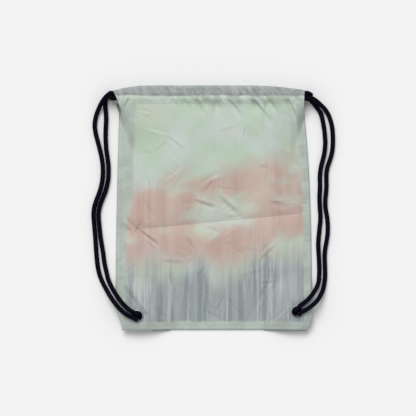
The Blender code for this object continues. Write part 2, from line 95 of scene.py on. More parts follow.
# Cloth
CLOTH = 0.0006
WEAVE_STEP = 0.0015         # spacing of the cloth's grid
BACK_STEP = 0.0021          # spacing of its rows on the plain back
EDGE_STEPS = (0.0, 0.0003, 0.0008, 0.0015, 0.0024, 0.0036, 0.0050)      # closer rows at a sewn edge
FLOOR_GAP = 0.0002          # the lowest cloth lies this far above its floor
CLAMPED = 0.0015            # an eyelet holds the cloth flat this far past its flange
PUNCHED = 0.0036            # the grid is open from this far inside the clamped ring
LEFT_BORDER, LEFT_BORDER_FALL = 0.80, 0.28      # an inset counts for less on the left, so its border is wider
LEFT_BORDER_FROM, LEFT_BORDER_FULL = -0.05, 0.02
SEAM_INSET = 0.008          # sewn line inside the turned edge
EDGE_ROLL = 0.0026          # radius of the turned edge
EDGE_GAP = 0.0004           # the panels lie this far apart at the turned edge
OPEN_EDGE = 0.02            # an edge above the seams counts as this much further in, so it isn't turned
SLIT_NOTCH = 0.0035         # how far the front's edge draws in at a slit
NOTCH_FROM, NOTCH_FULL, NOTCH_TO = SEAM_TOP - 0.006, SEAM_TOP + 0.010, STITCH_LINE - 0.012
SLIT_SPREAD, SPREAD_FROM = 0.0055, SEAM_TOP + 0.006     # how far the back's edge spreads out there
RIGHT_SLIT_SHARE = 0.2      # the right slit lies nearly shut
LEFT_TIP, RIGHT_TIP = LEFT_MOUTH - 0.0035, RIGHT_MOUTH
TOP_SAG = 0.0011            # how far the limp top edge sinks in its middle
JOIN_LIFT = 0.0035          # the front meets its casing this far above the casing's middle
TOP_RISE = FRONT_FLOOR + CASING_THICK / 2 + JOIN_LIFT - PANEL_GAP - CLOTH / 2

# Relief of the front
FULL_INSET, FULL_HEIGHT = 0.080, 0.125      # the pocket is fullest this far from the sides and the bottom
RING_EASE = 0.040           # it swells up from a clamped ring over this way
FOLD_DEPTH, FOLD_SPREAD = 0.0048, 0.012     # the packing fold's valley
FOLD_SIDE_EASE, FOLD_BOTTOM_EASE = 0.036, 0.10
RELIEF_FROM = 0.002         # relief starts this far from a seam or a clamped ring
RELIEF_SIDES, RELIEF_BOTTOM, RELIEF_RING = 0.022, 0.020, 0.018      # and is full this far from them
PACK_LINE, PACK_LINE_DEPTH, PACK_LINE_SPREAD = -0.132, 0.0007, 0.004    # pressed line beside the left edge
PACK_LINE_FROM, PACK_LINE_FULL = -0.05, 0.06
CRUMPLE_HEIGHT, CRUMPLE_WAVES, CRUMPLE_SEED = 0.033, 9, 3
CRUMPLE_SHORTEST, CRUMPLE_SPAN = 0.030, 0.060       # range of its wave lengths
SLACK_DEPTH, SLACK_REACH, SLACK_LENGTH, SLACK_DRIFT = 0.0034, 0.024, 0.047, 0.083
SLACK_FROM, SLACK_FULL = -0.10, 0.03
PUCKER_HEIGHT, PUCKER_REACH, PUCKER_LENGTH, PUCKER_DRIFT, PUCKER_FADE = 0.0003, 0.006, 0.0105, 0.071, 0.113
GATHER_LIMIT = 0.0032       # no gather rises or sinks further than this
GATHER_PULL = 1.3           # how hard the cords draw the gathers up
SMALL_GATHERS_FROM, SMALL_GATHERS_TO, SMALL_GATHER_STEP = -0.095, 0.148, 0.0115
SMALL_GATHER_TOP = 0.2065
SMALL_CREASES = 150

# Cord
CORD = 0.008
CORD_DEPTHS = (CASING_THICK / 2, CASING_THICK / 2 + CORD + 0.0004)
LOW_RUN, HIGH_RUN = CASING_THICK / 2, FRONT_FLOOR + CASING_THICK / 2
LYING = 0.0041              # height of a cord's middle where it lies on the floor
ROUTE_STEP, ROUTE_CUTS = 0.002, 16      # spacing of a route's points, and cuts between two chosen ones
TURN_REACH, TURN_STEPS = 0.0062, 24
LEFT_CORD_SLACK, RIGHT_CORD_SLACK = 0.005, 0.0008       # how far a turn stands off its mouth
TURN_DROOP = 0.0026         # how far the left cord's turn hangs towards the right cord's strand
LEAD_LEG, TURN_LEG = 0.020, 0.006       # how far a lead and a turn reach into a casing
RUN_GAP = 0.003             # the runs inside the casings stop this short of the leads and turns
KNOT_RADIUS, KNOT_TURNS, KNOT_STEPS, KNOT_PLAY = 0.0080, 2.4, 96, 0.0001
KNOT_SINK = 0.002           # the cord ends reach this far into a knot
TAIL_FROM, TAIL_BEND = 0.007, 0.0125    # a tail's start and bend, from the middle of its knot
TAIL_SWAY, TAIL_DROP_Y, TAIL_DROP_Z = 0.0008, 0.005, 0.0053
YARNS, YARN_LAY, YARN_RELIEF = 8, 0.0032, 0.00026
FINE_BRAID, HIDDEN_BRAID = (0.0004, 48), (0.0012, 24)   # ring spacing and sides

# Casings
CORD_COVER = CORD / 2 + CLOTH + 0.0001      # the casing's outer face stays this far from a cord's middle
GROOVE_LINE = MOUTH_TOP - sum(CORD_DEPTHS) / 2      # the cloth dips between the two cords
GROOVE_DEPTH, GROOVE_WIDTH, GROOVE_LENGTH = 0.0022, 0.0021, 0.037
FACE_ROWS, RIM_ROWS = 23, 13            # rows over each face and round the top
FACE_SHARE, RIM_SHARE = 0.92, 0.08      # of the way from the top to the sewn line
LIP_LEAST, LIP_MOST = 0.004, 0.0055     # the tunnel is full this far below its top edge
LINING_DROP = 0.0022        # the lining lies this far under the front along the sewn line
BACK_JOIN = 0.0024          # height of the back casing's sewn line
RIPPLE_HEIGHT, RIPPLE_LENGTH, RIPPLE_DRIFT, RIPPLE_LEAN = 0.00035, 0.013, 0.061, 40
RIPPLE_TOP, RIPPLE_SEWN = 0.006, 0.008
HELD_FROM, HELD_FULL = GROOVE_LINE - 0.010, GROOVE_LINE - 0.003
HELD_SHARE = 0.42           # how much of a fold the cords flatten
NO_BORDER = 0.05            # inset of cloth without a border

# Layers between the panels, and stitching
LAYER_LIFT, LAYER_WAVE, LAYER_LENGTHS = 0.0013, 0.0002, (0.031, 0.043)
SEAM_SPAN = np.linspace(0.0026, 0.0076, 6)      # from the turned edge to the sewn line
SIDE_SEAM_FROM, BOTTOM_SEAM_INSET = BOTTOM + 0.0092, 0.003
PATCH_WIDTH, PATCH_HEIGHT, PATCH_INSET, PATCH_TAPER = 0.062, 0.074, 0.0095, 0.9
STITCH_PITCH, STITCH_SHARE, THREAD_RADIUS = 0.0027, 0.82, 0.00028
TACK_STITCH, PATCH_STITCH = (0.0008, 0.0004), (0.0024, 0.0007)      # pitch and thread radius
EDGE_STITCH, END_STITCH = (0.0018, 0.0012), (0.0022, 0.0005)
BACK_ROW, BACK_THREAD = STITCH_LINE - 0.001, 0.0003
EDGE_ROW = BOTTOM - 0.0003
FRONT_LIFT, BACK_LIFT, CASING_LIFT = 0.00012, 0.0001, 0.0002        # a thread's middle above the cloth's face
ROW_INSET, CORNER_INSET = 0.003, 0.010      # rows stop this short of a side edge or the fold, and of a corner
MIDDLE_GAP = 0.0014         # the casing's two rows stop this short of the middle
FOLD_RISE = 0.0175          # lower rows end this far below the fold's middle on the left, above on the right
TACK_FROM, TACK_TO = 0.0012, 0.0078

# Camera and light
FRAME_PIXELS, PIXEL = 416, 0.00172      # width of the picture, and one pixel's size on the bag
VIEW_CENTRE, VIEW_HEIGHT = Vector((-0.0097, -0.0009, 0.0)), 4.0
FLOOR_REACH, FLOOR_LEVEL = 6.0, -0.0004
SKY_STRENGTH, KEY_STRENGTH, KEY_ANGLE = 0.52, 1.80, 34
KEY_DIRECTION = Vector((0.22, -0.66, -1.0))


def strand(*points):
    """A cord's chosen points; one that is given without a height lies on the floor."""
    return [(*point, LYING)[:3] for point in points]


# Free strands: the model's own points from the casing mouth to the eyelet
STRANDS = {
    "left_outer": strand(
        (-0.1768, 0.1958, 0.0216), (-0.1830, 0.1908, 0.0205), (-0.1902, 0.1825, 0.0148),
        (-0.1958, 0.1729, 0.0084), (-0.2004, 0.1622, 0.0048), (-0.2034, 0.1515), (-0.2044, 0.1405),
        (-0.2032, 0.1295), (-0.2006, 0.1185), (-0.1976, 0.1075), (-0.1948, 0.0965), (-0.1925, 0.0855),
        (-0.1908, 0.0745), (-0.1903, 0.0635), (-0.1907, 0.0525), (-0.1922, 0.0415), (-0.1947, 0.0312),
        (-0.1986, 0.0200), (-0.2026, 0.0095), (-0.2054, -0.0010), (-0.2064, -0.0115), (-0.2059, -0.0224),
        (-0.2049, -0.0340), (-0.2038, -0.0460), (-0.2030, -0.0580), (-0.2023, -0.0700), (-0.2013, -0.0820),
        (-0.2002, -0.0940), (-0.1984, -0.1060), (-0.1954, -0.1172, 0.0042), (-0.1906, -0.1290, 0.0052),
        (-0.1839, -0.1410, 0.0096), (-0.1766, -0.1532, 0.0152), (-0.1682, -0.1648, 0.0206),
        (-0.1586, -0.1752, 0.0257), (-0.1465, -0.1842, 0.0292), (-0.1324, -0.1902, 0.0292)),
    "left_inner": strand(
        (-0.1866, 0.1765), (-0.1858, 0.1690), (-0.1850, 0.1600), (-0.1848, 0.1500), (-0.1852, 0.1400),
        (-0.1856, 0.1300), (-0.1857, 0.1200), (-0.1853, 0.1100), (-0.1846, 0.1000), (-0.1831, 0.0900),
        (-0.1817, 0.0800), (-0.1808, 0.0700), (-0.1807, 0.0600), (-0.1812, 0.0500), (-0.1828, 0.0400),
        (-0.1854, 0.0295), (-0.1896, 0.0185), (-0.1936, 0.0080), (-0.1966, -0.0020), (-0.1978, -0.0120),
        (-0.1974, -0.0224), (-0.1963, -0.0340), (-0.1950, -0.0460), (-0.1935, -0.0570), (-0.1916, -0.0680),
        (-0.1899, -0.0790), (-0.1886, -0.0890), (-0.1868, -0.1000), (-0.1842, -0.1110, 0.0043),
        (-0.1814, -0.1225, 0.0056), (-0.1762, -0.1345, 0.0098), (-0.1698, -0.1452, 0.0146),
        (-0.1624, -0.1562, 0.0200), (-0.1532, -0.1668, 0.0256), (-0.1416, -0.1766, 0.0292),
        (-0.1299, -0.1817, 0.0292)),
    "right_outer": strand(
        (0.1598, 0.1874, 0.0216), (0.1680, 0.1866, 0.0214), (0.1758, 0.1824, 0.0190),
        (0.1832, 0.1760, 0.0148), (0.1905, 0.1690, 0.0098), (0.1968, 0.1600, 0.0058),
        (0.2008, 0.1495, 0.0042), (0.2034, 0.1385), (0.2046, 0.1270), (0.2049, 0.1155), (0.2045, 0.1040),
        (0.2028, 0.0925), (0.1994, 0.0808), (0.1957, 0.0700), (0.1938, 0.0590), (0.1936, 0.0480),
        (0.1938, 0.0370), (0.1930, 0.0260), (0.1920, 0.0150), (0.1918, 0.0050), (0.1928, -0.0050),
        (0.1946, -0.0150), (0.1957, -0.0250), (0.1961, -0.0350), (0.1957, -0.0450), (0.1944, -0.0550),
        (0.1927, -0.0650), (0.1911, -0.0750), (0.1907, -0.0850), (0.1910, -0.0960), (0.1913, -0.1070),
        (0.1914, -0.1180), (0.1903, -0.1290, 0.0046), (0.1880, -0.1396, 0.0078), (0.1832, -0.1508, 0.0140),
        (0.1752, -0.1616, 0.0215), (0.1650, -0.1700, 0.0272), (0.1550, -0.1762, 0.0292),
        (0.1458, -0.1813, 0.0292)),
    "right_inner": strand(
        (0.1849, 0.1592), (0.1872, 0.1500), (0.1890, 0.1400), (0.1905, 0.1300), (0.1913, 0.1200),
        (0.1917, 0.1110), (0.1911, 0.1010), (0.1896, 0.0910), (0.1871, 0.0808), (0.1845, 0.0700),
        (0.1830, 0.0600), (0.1824, 0.0500), (0.1827, 0.0400), (0.1824, 0.0295), (0.1819, 0.0190),
        (0.1821, 0.0086), (0.1825, -0.0017), (0.1833, -0.0120), (0.1833, -0.0224), (0.1822, -0.0327),
        (0.1812, -0.0430), (0.1802, -0.0533), (0.1797, -0.0640), (0.1801, -0.0745), (0.1808, -0.0850),
        (0.1813, -0.0960), (0.1815, -0.1070), (0.1812, -0.1175, 0.0046), (0.1799, -0.1285, 0.0084),
        (0.1748, -0.1400, 0.0150), (0.1680, -0.1500, 0.0212), (0.1590, -0.1592, 0.0262),
        (0.1494, -0.1664, 0.0292), (0.1402, -0.1751, 0.0292))}

# Leads: from the mouth of the back casing to an inner strand
LEADS = {
    "left": strand(
        (-0.1688, 0.1958, 0.0052), (-0.1700, 0.1958, 0.0052), (-0.1741, 0.1953, 0.0051),
        (-0.1780, 0.1937, 0.0050), (-0.1813, 0.1912, 0.0047), (-0.1840, 0.1878, 0.0044),
        (-0.1857, 0.1840, 0.0042), (-0.1863, 0.1808)),
    "right": strand(
        (0.1558, 0.1874, 0.0052), (0.1580, 0.1873, 0.0051), (0.1618, 0.1867, 0.0050),
        (0.1656, 0.1851, 0.0047), (0.1689, 0.1825, 0.0044), (0.1729, 0.1778, 0.0042),
        (0.1768, 0.1727), (0.1805, 0.1676), (0.1832, 0.1632))}

# Gathers under the casing: upper end, lower end, height, half width
GATHERS = (
    ((-0.079, 0.206), (-0.062, 0.172), 0.0028, 0.0027),
    ((-0.056, 0.201), (-0.041, 0.166), 0.0021, 0.0030),
    ((-0.034, 0.198), (-0.013, 0.156), 0.0030, 0.0030),
    ((-0.004, 0.198), (0.011, 0.168), 0.0021, 0.0027),
    ((0.016, 0.198), (0.051, 0.154), 0.0034, 0.0030),
    ((0.054, 0.204), (0.104, 0.142), 0.0038, 0.0032),
    ((0.086, 0.199), (0.113, 0.160), 0.0025, 0.0027),
    ((0.124, 0.195), (0.148, 0.144), 0.0036, 0.0029),
    ((-0.119, 0.200), (-0.108, 0.174), 0.0014, 0.0032),
    ((-0.100, 0.200), (-0.087, 0.182), 0.0018, 0.0024),
    ((-0.068, 0.196), (-0.054, 0.178), 0.0016, 0.0022),
    ((-0.024, 0.201), (-0.006, 0.176), 0.0021, 0.0024),
    ((0.033, 0.183), (0.043, 0.166), 0.0017, 0.0022),
    ((0.069, 0.202), (0.081, 0.184), 0.0020, 0.0023),
    ((0.104, 0.199), (0.121, 0.176), 0.0018, 0.0024),
    ((-0.1450, 0.191), (-0.1575, 0.163), -0.0028, 0.0025),
    ((-0.152, 0.193), (-0.158, 0.168), -0.0016, 0.0024))

# Diagonal seams of the corner patches: start and end
PATCH_SEAMS = {"left": ((-0.1542, -0.1367), (-0.1164, -0.1832)),
               "right": ((0.1291, -0.1636), (0.0964, -0.1964))}

# Creases pressed into the front: start, end, height, half width
CREASES = (
    ((-0.156, -0.018), (-0.128, -0.046), -0.0022, 0.0028),
    ((-0.130, -0.036), (-0.094, -0.062), 0.0024, 0.0024),
    ((-0.034, 0.014), (0.004, 0.001), 0.0018, 0.0030),
    ((0.008, 0.022), (0.043, -0.010), 0.0024, 0.0038),
    ((0.122, 0.100), (0.145, 0.070), 0.0015, 0.0034),
    ((0.134, 0.015), (0.156, -0.002), -0.0014, 0.0026),
    ((0.104, -0.118), (0.066, -0.190), 0.0009, 0.0032),
    ((-0.046, -0.048), (-0.034, -0.070), 0.0010, 0.0026),
    ((-0.104, -0.174), (-0.0775, -0.195), -0.0018, 0.0026),
    ((-0.099, -0.182), (-0.085, -0.1955), -0.0014, 0.0022),
    (*PATCH_SEAMS["left"], -0.0024, 0.0030),
    (*PATCH_SEAMS["right"], -0.0012, 0.0022))


def small_gathers():
    """Uneven little folds that lean across the casing between its cords and its sewn line."""
    draw = np.random.default_rng(11)
    rows = []
    for place in np.arange(SMALL_GATHERS_FROM, SMALL_GATHERS_TO, SMALL_GATHER_STEP):
        shift, lean, low = draw.uniform((-0.004, 0.003, 0.179), (0.004, 0.012, 0.190))
        height, width = draw.uniform((0.0009, 0.0016), (0.0024, 0.0024))
        rows.append(((place + shift, SMALL_GATHER_TOP), (place + shift + lean, low), height, width))
    return tuple(rows)


def small_creases():
    """Short creases of packed cloth, scattered over the front in every direction."""
    draw = np.random.default_rng(23)
    rows = []
    for _ in range(SMALL_CREASES):
        x, y = draw.uniform((LEFT_SIDE, BOTTOM), (RIGHT_SIDE, STITCH_LINE))
        angle, reach = draw.uniform((0, 0.006), (math.pi, 0.022))
        height, width = draw.uniform((-0.0008, 0.0014), (0.0008, 0.0036))
        dx, dy = reach * math.cos(angle), reach * math.sin(angle)
        rows.append(((x - dx, y - dy), (x + dx, y + dy), height, width))
    return tuple(rows)


GATHERS += small_gathers()
CREASES += small_creases()


# Outline and relief of the cloth

def smooth(low, high, value):
    t = np.clip((value - low) / (high - low), 0, 1)
    return t * t * (3 - 2 * t)


def left_edge(y):
    t = (y - BOTTOM) / (TOP - BOTTOM)
    return LEFT_SIDE + LEFT_LEAN * t ** 2 + LEFT_TUCK * (1 - smooth(0, LEFT_TUCK_HEIGHT, y - BOTTOM))


def right_edge(y):
    t = (y - BOTTOM) / (TOP - BOTTOM)
    return RIGHT_SIDE - RIGHT_LEAN * t ** 3 - RIGHT_TUCK * (1 - smooth(0, RIGHT_TUCK_HEIGHT, y - BOTTOM))


EDGES = {"left": left_edge, "right": right_edge}


def slit_notch(y):
    """The front's edges draw in where the side seams stop below the casing."""
    return SLIT_NOTCH * smooth(NOTCH_FROM, NOTCH_FULL, y) * (1 - smooth(NOTCH_TO, STITCH_LINE, y))


def back_flare(y):
    """The back's edges spread outwards there, so a little of the inside shows."""
    return -SLIT_SPREAD * smooth(SPREAD_FROM, STITCH_LINE, y)


def side_edges(y, notch):
    """A panel's left and right edges, drawn in by its notch."""
    return left_edge(y) + notch(y), right_edge(y) - RIGHT_SLIT_SHARE * notch(y)


def top_edge(x):
    left = np.clip(1 - (x - LEFT_MOUTH) / LEFT_FALL, 0, None)
    right = np.clip(1 - (RIGHT_MOUTH - x) / RIGHT_FALL, 0, None)
    return MOUTH_TOP + (TOP_DROP - TOP_SAG) * (1 - left ** 2 - right ** 2)


def fold_line(x):
    return FOLD_HEIGHT + FOLD_SLOPE * x


def level(y):
    """A straight line across the bag at one height."""
    return lambda x: y + 0 * x


def from_eyelet(x, y):
    """Distance from the flat ring of cloth that the nearer eyelet clamps."""
    reach = [np.hypot(x - eye.x, y - eye.y) for eye in EYELETS.values()]
    return np.minimum(*reach) - EYELET_RADIUS - CLAMPED


def corner_lift(x, y):
    """Height of the tent that the knots make under the corners."""
    t = np.clip(from_eyelet(x, y) / TENT_REACH, 0, 1)
    return TENT * (1 + np.cos(math.pi * t)) / 2


def across(x, y, start, end):
    """Where a point lies along a line, from 0 to 1, and its signed distance from that line."""
    dx, dy = end[0] - start[0], end[1] - start[1]
    length = math.hypot(dx, dy)
    along = ((x - start[0]) * dx + (y - start[1]) * dy) / length ** 2
    return along, ((y - start[1]) * dx - (x - start[0]) * dy) / length


def step(q):
    """One side lifts and the other sinks, both by 1 at a half width from the line."""
    return q * np.exp(0.5 - q * q / 2)


def folds_along(lines, x, y, rise, fall, narrow, widen):
    """Height of folds that rise and fall over shares of their lines and widen on the way."""
    total = 0
    for start, end, height, width in lines:
        along, off = across(x, y, start, end)
        fade = smooth(*rise, along) * (1 - smooth(*fall, along))
        total = total + height * fade * step(off / (width * (narrow + widen * np.clip(along, 0, 1))))
    return total


def gathers(x, y):
    total = folds_along(GATHERS, x, y, (-0.15, 0.25), (0.35, 1.05), 0.7, 0.6)
    return GATHER_LIMIT * np.tanh(GATHER_PULL * total / GATHER_LIMIT)


def creases(x, y):
    return folds_along(CREASES, x, y, (-0.10, 0.35), (0.65, 1.10), 1.0, 0.0)


def crumple(x, y):
    """Low waves in many directions, and the soft ridges that they leave in pressed cloth."""
    draw = np.random.default_rng(CRUMPLE_SEED)
    total = 0
    for wave in range(CRUMPLE_WAVES):
        angle, phase, bend = draw.uniform(0, TAU, 3)
        length = CRUMPLE_SHORTEST + CRUMPLE_SPAN * wave / CRUMPLE_WAVES
        run = (x * math.cos(angle) + y * math.sin(angle)) / length
        side = (y * math.cos(angle) - x * math.sin(angle)) / (2.6 * length)
        turn = TAU * run + phase + 1.6 * np.sin(TAU * side + bend)
        total = total + length * (np.sin(turn) - 0.7 * np.abs(np.sin(turn / 2 + bend)))
    return total / CRUMPLE_WAVES


def uneven_wave(place, length, swing, drift, phase=0):
    """A wave whose spacing drifts along the way, so that no two ripples are alike."""
    return np.sin(TAU * place / length + swing * np.sin(TAU * place / drift) + phase)


def slack_below_casing(x, y):
    """Uneven hollows where the cloth hangs under the casing's cords, deepest right of the middle."""
    uneven = 0.5 + 0.5 * uneven_wave(x, SLACK_LENGTH, 2.2, SLACK_DRIFT)
    near = smooth(STITCH_LINE - SLACK_REACH, STITCH_LINE, y) * smooth(SLACK_FROM, SLACK_FULL, x)
    return SLACK_DEPTH * uneven * near


def puckers(along, inset):
    """Small uneven ripples where the sewing draws the cloth along an edge."""
    ripple = uneven_wave(along, PUCKER_LENGTH, 3.4, PUCKER_DRIFT)
    ripple = ripple * (0.35 + 0.65 * np.sin(TAU * along / PUCKER_FADE + 1.1) ** 2)
    return PUCKER_HEIGHT * ripple * np.exp(-((inset - SEAM_INSET) / PUCKER_REACH) ** 2)


def pack_line(x, y):
    """A line that packing pressed into the upper front."""
    pressed = np.exp(-np.abs(x - PACK_LINE) / PACK_LINE_SPREAD)
    return -PACK_LINE_DEPTH * pressed * smooth(PACK_LINE_FROM, PACK_LINE_FULL, y)


def back_height(x, y):
    """Lower face of the back cloth: flat on the floor, tented over the knots."""
    return FLOOR_GAP + corner_lift(x, y)


def front_height(x, y):
    """Upper face of the front cloth."""
    sides, bottom = np.minimum(x - left_edge(y), right_edge(y) - x), y - BOTTOM
    ring = from_eyelet(x, y)
    upper = smooth(FOLD_HEIGHT, STITCH_LINE, y)
    slit = smooth(SEAM_TOP - np.clip(SLIT_FLARE * sides, 0, SLIT_REACH), STITCH_LINE, y)
    full = smooth(SEAM_INSET, FULL_INSET, sides)
    full = (full + (1 - full) * slit) * smooth(0, RING_EASE, ring)
    rise = POCKET_RISE * smooth(BOTTOM + SEAM_INSET, BOTTOM + FULL_HEIGHT, y)
    rise = rise + (TOP_RISE - POCKET_RISE) * upper
    valley = FOLD_DEPTH * (1 - np.exp(-np.abs(y - fold_line(x)) / FOLD_SPREAD)) * (1 - upper)
    valley = valley * smooth(RELIEF_FROM, FOLD_SIDE_EASE, sides) * smooth(0, FOLD_BOTTOM_EASE, bottom)
    soft = smooth(RELIEF_FROM, RELIEF_SIDES, sides) * smooth(RELIEF_FROM, RELIEF_BOTTOM, bottom)
    soft = soft * smooth(RELIEF_FROM, RELIEF_RING, ring)
    relief = gathers(x, y) + creases(x, y) + pack_line(x, y) + CRUMPLE_HEIGHT * crumple(x, y)
    relief = (relief - slack_below_casing(x, y)) * soft
    relief = relief + puckers(y, sides) * (1 - upper) + puckers(x, bottom)
    flat = back_height(x, y) + PANEL_GAP + CLOTH + rise * full + valley + relief
    rim = np.minimum(sides + OPEN_EDGE * smooth(SEAM_TOP, STITCH_LINE, y), bottom)
    turn = 1 - np.sqrt(1 - (1 - np.clip(rim / EDGE_ROLL, 0, 1)) ** 2)
    return flat - turn * (PANEL_GAP - EDGE_GAP)


# Meshes

def plain_mesh(obj):
    """The object's shape with its modifiers, as a mesh of its own."""
    graph = bpy.context.evaluated_depsgraph_get()
    return bpy.data.meshes.new_from_object(obj.evaluated_get(graph))


def add_piece(name, data, *finishes):
    """A new object in the scene, with the materials that its mesh takes."""
    made = bpy.data.objects.new(name, data)
    bpy.context.scene.collection.objects.link(made)
    for finish in finishes:
        data.materials.append(finish)
    return made


def dress(piece, slot, *nodes, body="bag"):
    """The piece stands for the model's solids that are named, and goes on a body; its slot is not used.

    A piece for the mouth goes on no body: its placing is only baked into its mesh.
    """
    if body == "mouth_front":
        middle = sum(vert.co.x for vert in piece.data.vertices) / len(piece.data.vertices)
        seam = left_edge(SEAM_TOP) if middle < 0 else right_edge(SEAM_TOP)
        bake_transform(piece)
    else:
        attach(piece, body)
    if nodes:
        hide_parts(*nodes)
    return piece


def grid_normals(grid, closed=False):
    if closed:
        grid = np.concatenate([grid[-1:], grid, grid[:1]])
    down, right = np.gradient(grid, axis=0), np.gradient(grid, axis=1)
    normal = np.cross(right, down)
    if closed:
        normal = normal[1:-1]
    return normal / np.linalg.norm(normal, axis=2, keepdims=True)


def grid_faces(rows, columns, closed):
    """Corners of a grid's squares; a closed grid's last row meets its first."""
    index = np.arange(rows * columns).reshape(rows, columns)
    upper = np.roll(index, -1, axis=0) if closed else index[1:]
    lower = index if closed else index[:-1]
    return np.stack([lower[:, :-1], lower[:, 1:], upper[:, 1:], upper[:, :-1]], axis=-1).reshape(-1, 4)


def punch(points):
    """Points that would lie in an eyelet's hole move out to its rim."""
    for eye in EYELETS.values():
        off = points[:, :2] - (eye.x, eye.y)
        reach = np.linalg.norm(off, axis=1, keepdims=True)
        moved = off * np.maximum(PUNCH_RADIUS / np.maximum(reach, 1e-6), 1) + (eye.x, eye.y)
        points = np.concatenate([moved, points[:, 2:]], axis=1)
    return points


def cloth(name, grid, normals, outside, inset=None, closed=False, flip=False):
    """A sheet of cloth with real thickness from a grid of points on its outer face."""
    points = grid.reshape(-1, 3)
    faces = grid_faces(*grid.shape[:2], closed)
    centres = points[faces].mean(axis=1)
    faces = faces[from_eyelet(centres[:, 0], centres[:, 1]) > -PUNCHED]
    used, faces = np.unique(faces, return_inverse=True)
    faces = faces.reshape(-1, 4)
    if flip:
        faces = faces[:, ::-1]
    mesh = bpy.data.meshes.new(name)
    mesh.from_pydata(punch(points)[used].tolist(), [], faces.tolist())
    if inset is not None:
        layer = mesh.attributes.new("inset", "FLOAT", "POINT")
        layer.data.foreach_set("value", inset.reshape(-1)[used].astype(np.float32))
    made = add_piece(name, mesh, outside, REVERSE)
    thick = made.modifiers.new("cloth", "SOLIDIFY")
    thick.thickness = CLOTH
    thick.offset = -1
    thick.material_offset = 1
    made.data = plain_mesh(made)
    made.modifiers.clear()
    bpy.data.meshes.remove(mesh)
    out = normals.reshape(-1, 3)[used] * (-1 if flip else 1)
    made.data.shade_smooth()
    made.data.normals_split_custom_set_from_vertices(np.concatenate([out, -out]).tolist())
    return made


def shares(low, high, crowd_low=False, crowd_high=False, spacing=WEAVE_STEP):
    """Shares of the way from low to high, one spacing apart and crowded towards the ends that are sewn."""
    head = [low + s for s in EDGE_STEPS] if crowd_low else [low]
    tail = [high - s for s in reversed(EDGE_STEPS)] if crowd_high else [high]
    count = max(2, round((tail[0] - head[-1]) / spacing))
    places = np.array(head[:-1] + list(np.linspace(head[-1], tail[0], count + 1)) + tail[1:])
    return (places - low) / (high - low)


ACROSS = shares(LEFT_SIDE, RIGHT_SIDE, True, True)
MIDDLE = len(ACROSS) // 2
HALVES = {"left": slice(0, MIDDLE + 1), "right": slice(MIDDLE, None)}


def panel_grid(heights, low, high, notch, height):
    """Points of a panel between its side edges, from the line low(x) to the line high(x)."""
    u, v = np.meshgrid(ACROSS, heights)
    y = low(0 * u) + v * (high(0 * u) - low(0 * u))
    for _ in range(4):
        left, right = side_edges(y, notch)
        x = left + u * (right - left)
        y = low(x) + v * (high(x) - low(x))
    return np.stack([x, y, height(x, y)], axis=-1)


def panel_inset(grid):
    """How far each point lies inside the sewn edges; the left border is wider."""
    x, y = grid[..., 0], grid[..., 1]
    counts = LEFT_BORDER - LEFT_BORDER_FALL * smooth(LEFT_BORDER_FROM, LEFT_BORDER_FULL, y)
    from_left = (x - left_edge(y)) * counts
    return np.minimum(np.minimum(from_left, right_edge(y) - x), y - BOTTOM)


# Node trees

class Wire:
    """A node's output in a tree, with Python's operators for arithmetic on it."""

    def __init__(self, tree, socket=None):
        self.tree = tree
        self.socket = socket

    def node(self, kind, sockets=None, out=0, **settings):
        """Adds any node: its settings first, then the values or links of its sockets."""
        made = self.tree.nodes.new(kind)
        for name, value in settings.items():
            setattr(made, name, value)
        for key, value in (sockets or {}).items():
            if isinstance(value, Wire):
                self.tree.links.new(value.socket, made.inputs[key])
            else:
                made.inputs[key].default_value = value
        return Wire(self.tree, made.outputs[out])

    def math(self, operation, other=0.0):
        return self.node("ShaderNodeMath", {0: self, 1: other}, operation=operation)

    def __add__(self, other):
        return self.math("ADD", other)

    def __sub__(self, other):
        return self.math("SUBTRACT", other)

    def __rsub__(self, other):
        return self.node("ShaderNodeMath", {0: other, 1: self}, operation="SUBTRACT")

    def __mul__(self, other):
        return self.math("MULTIPLY", other)

    def __truediv__(self, other):
        return self.math("DIVIDE", other)

    def __pow__(self, other):
        return self.math("POWER", other)

    def __abs__(self):
        return self.math("ABSOLUTE")

    __radd__ = __add__
    __rmul__ = __mul__

    def ramp(self, low, high):
        """0 below low, 1 above high and smooth between; low may be the larger."""
        return self.node("ShaderNodeMapRange", {0: self, 1: low, 2: high}, interpolation_type="SMOOTHSTEP")

    def mix(self, first, second):
        """The first colour where this value is 0, the second where it is 1."""
        return self.node("ShaderNodeMix", {0: self, 6: first, 7: second}, out=2, data_type="RGBA")

    def axis(self, number):
        return self.node("ShaderNodeSeparateXYZ", {0: self}, out=number)

    def noise(self, scale, detail, rough=0.5):
        """Noise at the place that this vector gives."""
        return self.node("ShaderNodeTexNoise",
                         {"Vector": self, "Scale": scale, "Detail": detail, "Roughness": rough})

    def bump(self, strength, distance):
        """A surface normal from this height."""
        return self.node("ShaderNodeBump", {"Strength": strength, "Distance": distance, "Height": self})

    def attribute(self, name):
        """A value that the mesh carries."""
        return self.node("ShaderNodeAttribute", out=2, attribute_name=name)

    def store(self, name, value):
        """This geometry with a value kept on its points."""
        return self.node("GeometryNodeStoreNamedAttribute", {0: self, "Name": name, "Value": value})

    def stored(self, name):
        return self.node("GeometryNodeInputNamedAttribute", {"Name": name})


# Materials

def srgb(red, green, blue):
    """A colour as a painter writes it, 0 to 255, as the shader's linear values."""
    channels = [value / 255 for value in (red, green, blue)]
    return tuple(c / 12.92 if c <= 0.04045 else ((c + 0.055) / 1.055) ** 2.4 for c in channels) + (1.0,)
